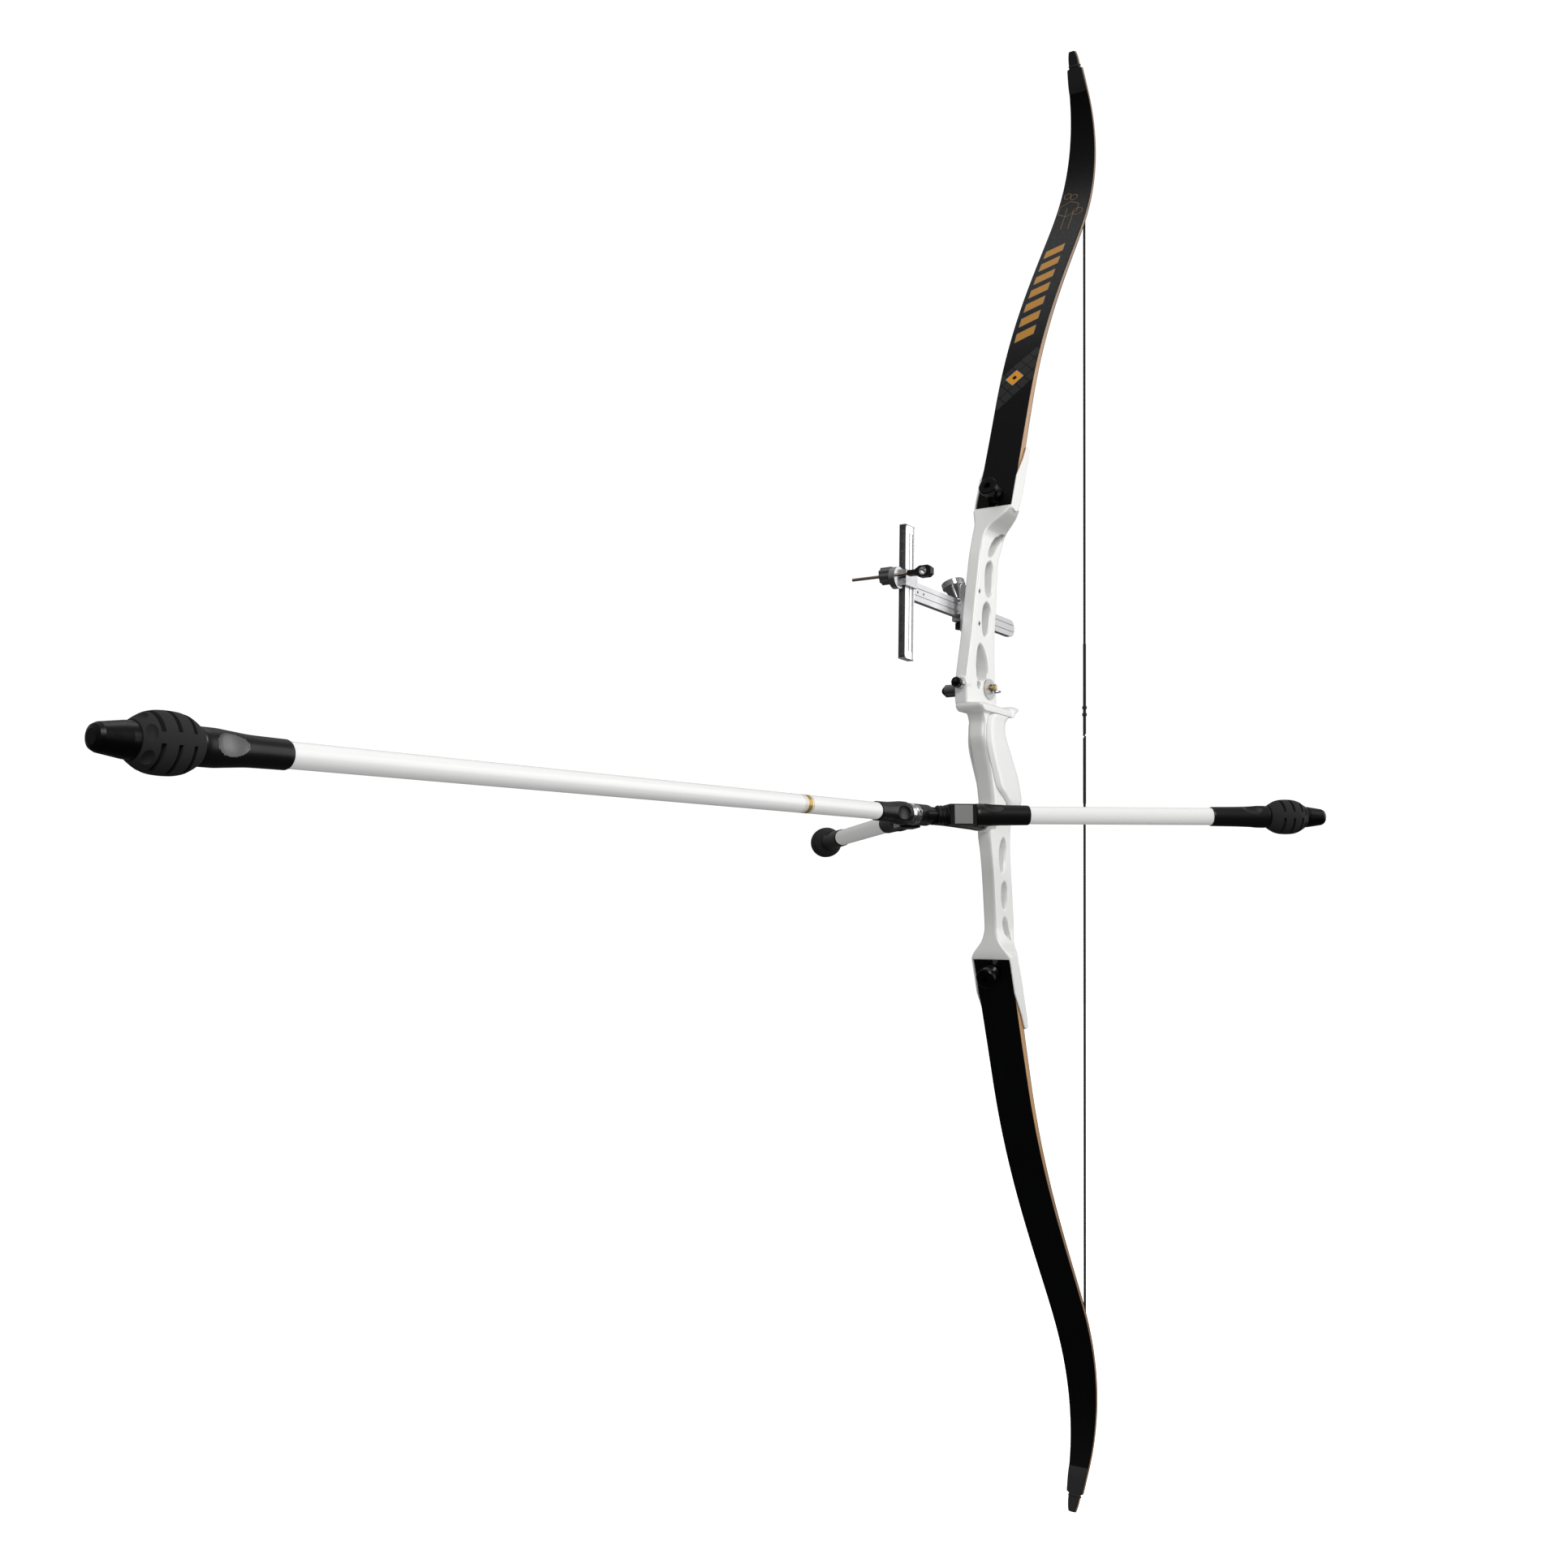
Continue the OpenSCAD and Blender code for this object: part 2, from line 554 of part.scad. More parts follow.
module grip() {
    color([0.95, 0.95, 0.94]) difference() {
        loft([for (p = grip_stations) grip_ring(p[0], p[1], p[2], p[3])]);
        side_plate(concat([[-80, foot_z - 8], [5, foot_z - 8]], core_back, [[-8 + fit + 0.1, 3.8], [-80, 3.8]]),
            -half_core - fit - 0.1, half_core + fit + 0.1);
        translate([-80, -grip_w, 3.35]) cube([80 + 5.75, 2 * grip_w, 20]);
    }
}

// Fittings of the riser

bushing_od = 14;

module at_stab() {
    translate([bushing_x, 0, -bushing_drop]) rotate([0, -rod_droop, 0]) children();
}

module stabiliser_bushing() {
    color(STEEL) at_stab() difference() {
        rod_x(bushing_od - 2 * fit, 0, 20);
        rod_x(stud_d + 2 * fit, -1, 21);
    }
}

module front_sleeve() {
    color(STEEL) translate([side_front - 1.4, window_y + half_t, plunger_z - 1.7]) difference() {
        turned([[0, -7], [5.2, -7], [6, -6], [6, 0], [3.9, 0], [3.9, 14], [0, 14]]);
        rod_x(4.2, -8, 15);
    }
}

module front_plug() {
    color(STEEL) translate([side_front - 1.4, window_y + half_t, plunger_z - 1.7])
        turned([[0, -13], [1.6, -12.2], [3, -10.5], [3, -10.2], [4.6, -10.2], [5, -9.6], [5, -7 - fit], [2, -7 - fit],
            [2, 10], [0, 10]]);
}

module limb_bolt(side) {
    color(BLACK) at_limb(side) translate([0, 0, bolt_u]) difference() {
        turned([[0, -bolt_h], [bolt_knob_d / 2 - 1, -bolt_h], [bolt_knob_d / 2, -bolt_h + 1],
            [bolt_knob_d / 2, -bolt_h + 6], [bolt_knob_d / 2 - 2, -bolt_h + 7], [6.5, -bolt_h + 8.5], [6.5, -8],
            [bolt_knob_d / 2 - 1, -5.5], [bolt_knob_d / 2 - 1, -2], [bolt_knob_d / 2 - 2, -seat], [bolt_d / 2, -seat],
            [bolt_d / 2, 28], [0, 28]]);
        rod_x(6.9, -bolt_h - 1, -bolt_h + 5);
    }
}

module bolt_locks() {
    for (side = [-1, 1]) color(GREY) at_limb(side) translate([0, 0, bolt_u]) difference() {
        rod_x(bolt_d + 2 * running - 2 * fit, 28.4, 35);
        translate([31, 0, 0]) rotate([0, 90, 0]) cylinder(d = 4.6, h = 6, $fn = 6);
    }
}

module pocket_bushings() {
    for (side = [-1, 1]) color(STEEL) at_limb(side) translate([0, 0, dovetail_u]) difference() {
        rod_x(dovetail_d * 2 - 2 * fit, pocket_floor, pocket_floor + 6 - fit);
        rod_x(dovetail_d + 2 * fit, pocket_floor - 1, pocket_floor + 4.5);
    }
}

module limb_dovetails() {
    for (side = [-1, 1]) limb_dovetail(side);
}

// Arrow rest and plunger

plunger_reach = 7.5;
plunger_end = 53.5;

rest_pin_d = 2;
rest_pin_x = plunger_x + 6;
rest_pin_y = window_y - 3.4;

// Plate stuck on the window, with a knuckle for the wire's upright pin
module rest_plate() {
    color([0.66, 0.66, 0.65]) difference() {
        union() {
            translate([plunger_x - 1, window_y - 1.2 - fit, plunger_z - 1.5]) rotate([-90, 0, 0])
                linear_extrude(height = 1.2) polygon([for (a = [0:10:350]) [12.5 * cos(a), 10.5 * sin(a)]]);
            translate([rest_pin_x, rest_pin_y, plunger_z - 2]) cylinder(d = 4.8, h = 5, $fn = 32);
        }
        translate([plunger_x, 0, plunger_z]) rod_y(barrel_d + 0.4, window_y - 7, window_y + 3);
        translate([rest_pin_x, rest_pin_y, plunger_z - 4]) cylinder(d = rest_pin_d + running, h = 10, $fn = 32);
    }
}

// Sprung wire that carries the arrow, turning on its upright pin
module rest_wire() {
    color(STEEL) translate([rest_pin_x, rest_pin_y, plunger_z]) {
        translate([0, 0, -4.6]) cylinder(d = rest_pin_d, h = 8.8, $fn = 32);
        translate([0, 0, 3 + seat]) cylinder(d = 3.6, h = 1, $fn = 32);
        translate([0, 0, -4.6]) sweep([[0, 0, 0], [-0.8, -3.4, 0], [-2.2, -6.2, 0], [-4.6, -8.2, 0], [-7.6, -9, 0],
            [-10.5, -9.1, 0]], 1.4, [0, 0, 1]);
    }
}

module plunger_barrel() {
    color(GREY) translate([plunger_x, 0, plunger_z]) difference() {
        union() {
            rod_y(barrel_d, window_y - 1, window_far + 2);
            rod_y(13, window_far + seat, plunger_end - 1);
        }
        rod_y(tip_d + 2 * running, window_y - 2, window_y + 8);
        rod_y(spring_bore, window_y + 7, plunger_end);
    }
}

spring_bore = 6;
spring_from = window_y + 13;
spring_to = plunger_end - 12;

module plunger_spring() {
    turns = 8;
    wire = 0.7;
    r = spring_bore / 2 - wire / 2 - 0.2;
    steps = turns * 8;
    rings = [for (i = [0:steps])
        let (a = 45 * i, y = spring_from + wire / 2 + (spring_to - spring_from - wire) * i / steps,
            out = [cos(a), 0, sin(a)])
        [for (j = [0:5]) [0, y, 0] + out * (r + wire / 2 * cos(60 * j)) + [0, wire / 2 * sin(60 * j), 0]]];
    color(STEEL) translate([plunger_x, 0, plunger_z]) loft(rings);
}

module plunger_tip() {
    color([0.8, 0.55, 0.25]) translate([plunger_x, 0, plunger_z]) {
        rod_y(tip_d, window_y - plunger_reach, window_y + 11);
        rod_y(spring_bore - 2 * running, window_y + 9, window_y + 12.6);
    }
}

module plunger_cap() {
    color(BLACK) translate([plunger_x, 0, plunger_z]) {
        rod_y(spring_bore - 2 * fit, spring_to + 0.3, plunger_end);
        rod_y(9, plunger_end - 1 + fit, plunger_end + 1.4);
        rod_y(6, plunger_end + 1, plunger_end + 3);
    }
}

// Sight

sight_screw_d = 4.2;
bar_y = window_far + 8.5;
bar_z = sight_z + 1.1;
bar_front = bar_rear - bar_len;
base_front = -27;
jaw_front = -39;
jaw_h = 12.5;
base_back = -4;
base_far = bar_y + bar_t + 7.4;
clamp_y = bar_y + bar_t + 3.7;
lip = 1.5;
base_top = bar_z + bar_h / 2 + lip;
base_bottom = bar_z - bar_h / 2 - lip;
knob_tilt = 18;
knob_at = [-20, clamp_y, base_top];
stop_x = -14;
post_x = bar_front - post_w;
post_z = bar_z - 3.4;
carriage_z = bar_z + 10.8;
wind_x = post_x - 8;

module bar_channel() {
    translate([base_front - 5, bar_y - running, bar_z - bar_h / 2 - running])
        cube([base_back - base_front + 10, bar_t + 2 * running, bar_h + 2 * running]);
}

module sight_base() {
    color(STEEL) difference() {
        union() {
            translate([sight_x - 7, window_far + fit, sight_z - sight_pitch / 2 - 7])
                cube([15, 4.5, sight_pitch + 14]);
            translate([base_front, window_far + 1, base_bottom])
                cube([base_back - base_front, base_far - window_far - 1, base_top - base_bottom]);
            translate([jaw_front, window_far + 1, bar_z - jaw_h / 2])
                cube([base_front - jaw_front + 1, bar_y - running - window_far - 1, jaw_h]);
            translate(knob_at) rotate([-knob_tilt, 0, 0]) translate([0, 0, -2]) cylinder(d = 7, h = 5.2, $fn = 32);
        }
        bar_channel();
        translate(knob_at) rotate([-knob_tilt, 0, 0]) translate([0, 0, -3]) cylinder(d = 5.2, h = 12, $fn = 32);
        translate([stop_x, clamp_y, base_bottom - 1]) cylinder(d = 4.2, h = 4, $fn = 32);
        for (step = [-0.5, 0.5]) translate([sight_x, 0, sight_z + step * sight_pitch])
            rod_y(sight_screw_d + 2 * fit, window_far - 1, bar_y - 1);
    }
}

module sight_screws() {
    for (step = [-0.5, 0.5]) color(GREY) translate([sight_x, 0, sight_z + step * sight_pitch]) difference() {
        rod_y(sight_screw_d, window_y + 0.8, window_far + 4);
        translate([0, window_y + 0.7, 0]) rotate([-90, 0, 0]) cylinder(d = 2.4, h = 1.6, $fn = 6);
    }
}

module sight_clamp_knob() {
    color(STEEL) translate(knob_at) rotate([-knob_tilt, 0, 0]) {
        translate([0, 0, 3.2 + seat]) rotate_extrude($fn = 48)
            polygon([[0, 0], [5.5, 0], [9.8, 12.4], [10.8, 12.8], [10.8, 13.2], [0, 13.2]]);
        translate([0, 0, 16.6]) linear_extrude(height = 6.2) polygon(grooved(24, 30, 0.8));
        translate([0, 0, -2.6]) cylinder(d = 5, h = 7, $fn = 32);
    }
}

module sight_stop_knob() {
    color(BLACK) translate([stop_x, clamp_y, base_bottom]) {
        cylinder(d = 4, h = 2.6, $fn = 32);
        translate([0, 0, -1]) cylinder(d = 4, h = 2, $fn = 32);
        translate([0, 0, -6.5]) linear_extrude(height = 6.5 - seat) polygon(grooved(12, 14, 0.7));
    }
}

module sight_bar() {
    groove = 0.8;
    color([0.78, 0.78, 0.79]) difference() {
        translate([0, bar_y + bar_t, bar_z]) rotate([90, 0, 0]) linear_extrude(height = bar_t) polygon(concat(
            [[bar_front, -bar_h / 2]],
            [for (a = [-90:15:0]) [bar_rear - 9 + 9 * cos(a), -bar_h / 2 + 9 + 9 * sin(a)]],
            [for (a = [0:15:90]) [bar_rear - 9 + 9 * cos(a), bar_h / 2 - 9 + 9 * sin(a)]],
            [[bar_front, bar_h / 2]]));
        for (step = [-1, 1], y = [bar_y - 1, bar_y + bar_t - groove])
            translate([bar_front - 1, y, bar_z + step * bar_h * 0.2 - 0.5]) cube([bar_len + 2, 1 + groove, 1]);
        for (x = [bar_front + 8, bar_front + 20]) translate([x, 0, bar_z]) rod_y(2.6, bar_y - 1, bar_y + bar_t + 1);
    }
}

// Upright bar with its scale face to the target and a slot along its near side
module sight_post() {
    slot = 2.4;
    color([0.62, 0.62, 0.64]) difference() {
        translate([post_x, bar_y - 0.5, post_z - post_len / 2]) cube([post_w - fit, post_t, post_len]);
        for (x = [post_x + post_w * 0.42, post_x + post_w * 0.74])
            translate([x, bar_y - 2, post_z - post_len / 2 + 8]) cube([slot * 0.6, 3.2, post_len - 16]);
    }
}

module sight_carriage() {
    gap = running;
    color(GREY) difference() {
        union() {
            translate([post_x - 4, bar_y - 4, carriage_z - 9.5]) cube([post_w + 4, post_t + 4.8, 15.5]);
            translate([wind_x, 0, carriage_z - 3]) rod_y(21, bar_y + 1, drum_end);
        }
        translate([post_x - gap, bar_y - 0.5 - gap, carriage_z - 15]) cube([post_w + 10, post_t + 2 * gap, 30]);
        translate([wind_x, 0, carriage_z]) rod_y(wind_d + 2 * running, bar_y - 10, bar_y + 30);
    }
}

wind_d = 3;
drum_end = bar_y + 7.5;
nut_len = 12;

module windage_screw() {
    color([0.6, 0.5, 0.42]) translate([wind_x, 0, carriage_z]) rod_y(wind_d, aperture_y + 11, bar_y + 53);
}

module windage_nut() {
    color(GREY) translate([wind_x, drum_end + seat, carriage_z]) difference() {
        rotate([-90, 0, 0]) linear_extrude(height = nut_len) polygon(grooved(17, 9, 0.9));
        rod_y(wind_d + 2 * running, -1, nut_len + 1);
    }
}

// Flared arm that holds the aperture in the string plane
module aperture_body() {
    color(BLACK) translate([wind_x, aperture_y, carriage_z]) difference() {
        translate([-3.5, 0, 0]) rotate([0, 90, 0]) linear_extrude(height = 7) polygon([
            [-5.5, -5], [-3, -8.2], [3, -8.2], [5.5, -5], [5.5, 4], [2.4, 9], [2.4, 17], [-2.4, 17], [-2.4, 9],
            [-5.5, 4]]);
        rod_x(8, -5, 5);
        rod_y(wind_d + 2 * fit, 11, 20);
    }
}

module aperture_ring() {
    color(STEEL) translate([wind_x, aperture_y, carriage_z]) {
        difference() {
            rod_x(8 - 2 * fit, -4, 4);
            rod_x(6, -5, 5);
        }
        color([0.75, 0.1, 0.1]) translate([0, 0, 0]) rotate([0, 90, 0]) cylinder(d = 2, h = 3, center = true, $fn = 24);
        translate([0, 0, -1.9]) cylinder(d = 0.9, h = 2.6, center = true, $fn = 24);
    }
}

// Stabilisers

module at_v() {
    at_stab() translate([-v_distance, 0, 0]) rotate([-v_roll, 0, 0]) children();
}

// Arm of the bar: near (-1) or far (1)
module at_arm(side) {
    at_v() rotate([0, 0, side * arm_angle]) rotate([0, arm_droop, 0]) children();
}

hub_back = 13;
hub_front = -9;
arm_d = 11;
ring_from = 17;
qd_front = hub_front - 17;
neck_end = 28;
block_end = 53.5;
long_root = qd_front - seat;

module extender() {
    r = extender_d / 2;
    neck = -v_distance + hub_back;
    color(BLACK) at_stab() difference() {
        union() {
            turned([[0, neck + seat], [5, neck + seat], [5, neck + 5], [r - 1.5, neck + 11], [r - 1.5, -80],
                [r, -20], [r + 0.6, -8], [r, -2], [r - 1.5, -fit], [0, -fit]]);
            rod_x(stud_d, -1, 14);
            rod_x(stud_d, neck - 8, neck + 2);
        }
        rotate([130, 0, 0]) translate([-9, 0, r - 3]) cylinder(d = 3.6, h = 6, $fn = 24);
    }
}

// Hub, arms and the square blocks that take the side rods
module v_bar() {
    color(BLACK) difference() {
        union() {
            at_v() rod_x(hub_d, hub_front, hub_back);
            for (side = [-1, 1]) at_arm(side) {
                rod_x(arm_d, 0, neck_end + 1);
                translate([neck_end, -block / 2, -block / 2]) cube([block_end - neck_end, block, block]);
            }
        }
        at_v() rod_x(stud_d + 2 * running, -4, hub_back + 1);
        at_v() rod_x(10 + 2 * running, hub_front - 1, hub_front + 8);
        for (side = [-1, 1]) at_arm(side) rod_x(stud_d + 2 * fit, block_end - 14, block_end + 1);
    }
}

module arm_plates() {
    size = block - 2;
    for (side = [-1, 1]) color([0.72, 0.71, 0.7]) at_arm(side)
        translate([(neck_end + block_end - size) / 2, side * (block / 2 + 0.3 + fit) - 0.3, -size / 2])
            cube([size, 0.6, size]);
}

module quick_disconnect() {
    r = hub_d / 2;
    color(STEEL) at_v() difference() {
        turned([[0, hub_front - fit], [r - 0.4, hub_front - fit], [r, hub_front - 1], [r, hub_front - 8],
            [r - 1, hub_front - 9], [r - 1, hub_front - 11], [r - 0.2, hub_front - 12], [r - 1.2, qd_front],
            [0, qd_front]]);
        rod_x(10 + 2 * running, qd_front - 1, hub_front + 1);
        for (a = [20:60:320]) rotate([a, 0, 0]) translate([hub_front - 4.5, 0, r - 3]) cylinder(d = 3.4, h = 6, $fn = 24);
    }
}

module lock_ring(side) {
    end = neck_end - seat;
    color(BLACK) at_arm(side) difference() {
        turned(concat([[0, ring_from]], [for (i = [0:7]) [8.2 + (i % 2) * 0.8, ring_from + (end - ring_from) * i / 7]],
            [[0, end]]));
        rod_x(arm_d + 2 * running, 10, 40);
    }
}

// Ferrule from x = 0 at its free end, with a spigot inside the tube at its length
module ferrule(length, tube_d, reach) {
    turned([[0, 0], [ferrule_d / 2 - 1.4, 0], [ferrule_d / 2, 3], [ferrule_d / 2, 10], [ferrule_d / 2 - 0.7, 20],
        [tube_d / 2 + 1.2, 36], [tube_d / 2 + 0.9, length], [tube_d / 2 - tube_wall - fit, length],
        [tube_d / 2 - tube_wall - fit, length + 14], [0, length + 14]]);
    rod_x(stud_d, -reach, 1);
}

module tube(length, tube_d) {
    difference() {
        rod_x(tube_d, 0, length);
        rod_x(tube_d - 2 * tube_wall, -1, length + 1);
    }
}

// Rubber damper from x = 0, with three bands cut round it
module damper() {
    r = damper_d / 2;
    band = 2;
    difference() {
        turned(concat([[stud_d / 2 + 1, 0]],
            [for (i = [0:12]) let (a = -66 + 11 * i) [r - 5.5 + 5.5 * cos(a * 1.35),
                damper_len * (0.5 + 0.5 * sin(a) / sin(66))]],
            [[stud_d / 2 + 1, damper_len]]));
        for (x = [0.3, 0.55, 0.8]) translate([damper_len * x, 0, 0]) difference() {
            rod_x(damper_d + 2, -band / 2, band / 2);
            rod_x(damper_d - 5, -band, band);
        }
    }
}

// Metal core of a damper, moulded in, with its stud for the weight
module weight() {
    difference() {
        turned([[0, 0], [weight_d / 2, 0], [weight_d / 2 - 0.2, 4], [weight_d / 2 - 2.3, weight_len - 3.5],
            [weight_d / 2 - 3.4, weight_len - 1.2], [weight_d / 2 - 6, weight_len], [0, weight_len]]);
        rod_x(stud_d + 2 * running, -1, 12);
    }
}

rod_tube = root_ferrule_len;
rod_rear = rod_tube + side_tube_len;
rod_damper = rod_rear + ferrule_len;
rod_weight = rod_damper + damper_len;
stud_run = damper_len + 10;

// Places its children along the long rod, which runs towards the target
module on_long(x) {
    at_v() mirror([1, 0, 0]) translate([-long_root + x, 0, 0]) children();
}

module on_side(side, x) {
    at_arm(side) translate([block_end + fit + x, 0, 0]) children();
}

long_rear = root_ferrule_len + long_tube_len;
long_damper_at = long_rear + ferrule_len;
long_weight_at = long_damper_at + damper_len;

module far_ferrule(tube_d) {
    translate([ferrule_len, 0, 0]) mirror([1, 0, 0]) ferrule(ferrule_len, tube_d, stud_run);
}

module long_front_ferrule() {
    color(BLACK) on_long(0) {
        ferrule(root_ferrule_len, long_tube_d, 2);
        rod_x(10, -20, 1);
    }
}

module side_ferrules() {
    for (side = [-1, 1]) color(BLACK) {
        on_side(side, 0) ferrule(root_ferrule_len, side_tube_d, 12);
        on_side(side, rod_rear) far_ferrule(side_tube_d);
    }
}

module side_weight(side) {
    color(BLACK) on_side(side, rod_weight + seat) weight();
}

riser();
grip();
stabiliser_bushing();
front_sleeve();
front_plug();
limb_bolt(1);  // upper_limb_bolt
limb_bolt(-1);  // lower_limb_bolt
bolt_locks();
pocket_bushings();
limb_dovetails();
limb_butt(1);  // upper_limb_butt
limb_core(1);  // upper_limb_core
limb_back(1);  // upper_limb_back
limb_belly(1);  // upper_limb_belly
tip_overlay(1);  // upper_tip_overlay
limb_butt(-1);  // lower_limb_butt
limb_core(-1);  // lower_limb_core
limb_back(-1);  // lower_limb_back
limb_belly(-1);  // lower_limb_belly
tip_overlay(-1);  // lower_tip_overlay
string_half(1);  // upper_string
string_half(-1);  // lower_string
string_loop(1);  // upper_string_loop
string_loop(-1);  // lower_string_loop
serving(1);  // upper_serving
serving(-1);  // lower_serving
nocking_point();
rest_plate();
rest_wire();
plunger_barrel();
plunger_spring();
plunger_tip();
plunger_cap();
sight_base();
sight_screws();
sight_clamp_knob();
sight_stop_knob();
sight_bar();
sight_post();
sight_carriage();
windage_screw();
windage_nut();
aperture_body();
aperture_ring();
extender();
v_bar();
arm_plates();
quick_disconnect();
lock_ring(-1);  // near_lock_ring
lock_ring(1);  // far_lock_ring
long_front_ferrule();
color(WHITE) on_long(root_ferrule_len) tube(long_tube_len, long_tube_d);  // long_tube
color(BLACK) on_long(long_rear) far_ferrule(long_tube_d);  // long_rear_ferrule
color(BLACK) on_long(long_damper_at) damper();  // long_damper
color(BLACK) on_long(long_weight_at + seat) weight();  // long_weight
side_ferrules();
color(WHITE)  // side_tubes
    for (side = [-1, 1]) on_side(side, rod_tube) tube(side_tube_len, side_tube_d);
color(BLACK) for (side = [-1, 1]) on_side(side, rod_damper) damper();  // side_dampers
side_weight(-1);  // near_side_weight
side_weight(1);  // far_side_weight
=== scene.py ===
"""Looks of a take-down recurve bow with a sight, a plunger rest and three stabilisers.

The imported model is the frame. Turned and plate parts keep their solids and get better
finishes; the riser, grip, limbs, string, ferrules, dampers and the sight's clamp knob are
modelled again round the same places, and the sight's scale and bead are added. Lengths are
in millimetres in the classes that model, and in metres in the finishes, the studio and the
meshes. +X points to the archer, +Z up, and the near side is -Y.
"""

from __future__ import annotations

import logging
import math
from dataclasses import dataclass, field
from enum import Enum
from typing import Callable, Iterable, Optional, Sequence

import bmesh
import bpy
from mathutils import Matrix, Vector


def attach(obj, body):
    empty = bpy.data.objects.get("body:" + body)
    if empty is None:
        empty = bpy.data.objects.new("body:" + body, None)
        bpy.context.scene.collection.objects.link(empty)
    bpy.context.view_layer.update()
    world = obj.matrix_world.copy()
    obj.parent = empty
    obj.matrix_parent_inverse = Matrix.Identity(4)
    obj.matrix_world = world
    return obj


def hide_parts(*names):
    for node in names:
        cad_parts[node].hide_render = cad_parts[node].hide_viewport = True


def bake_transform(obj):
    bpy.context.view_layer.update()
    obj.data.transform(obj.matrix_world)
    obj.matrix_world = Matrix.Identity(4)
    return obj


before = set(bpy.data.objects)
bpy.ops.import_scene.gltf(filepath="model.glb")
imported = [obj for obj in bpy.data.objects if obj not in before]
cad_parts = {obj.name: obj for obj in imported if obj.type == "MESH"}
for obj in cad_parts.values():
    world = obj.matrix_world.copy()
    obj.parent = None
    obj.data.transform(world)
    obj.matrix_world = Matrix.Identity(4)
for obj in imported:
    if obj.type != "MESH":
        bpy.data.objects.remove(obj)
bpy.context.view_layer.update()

logging.basicConfig(level=logging.INFO, format="%(message)s")
LOG = logging.getLogger("bow")

MM = 0.001
Colour = tuple[float, float, float]
Point = tuple[float, float, float]
Row = Sequence[float]
Chart = Callable[[int], tuple[float, float]]
Socket = bpy.types.NodeSocket
Piece = bpy.types.Object


# ---------------------------------------------------------------- shaders


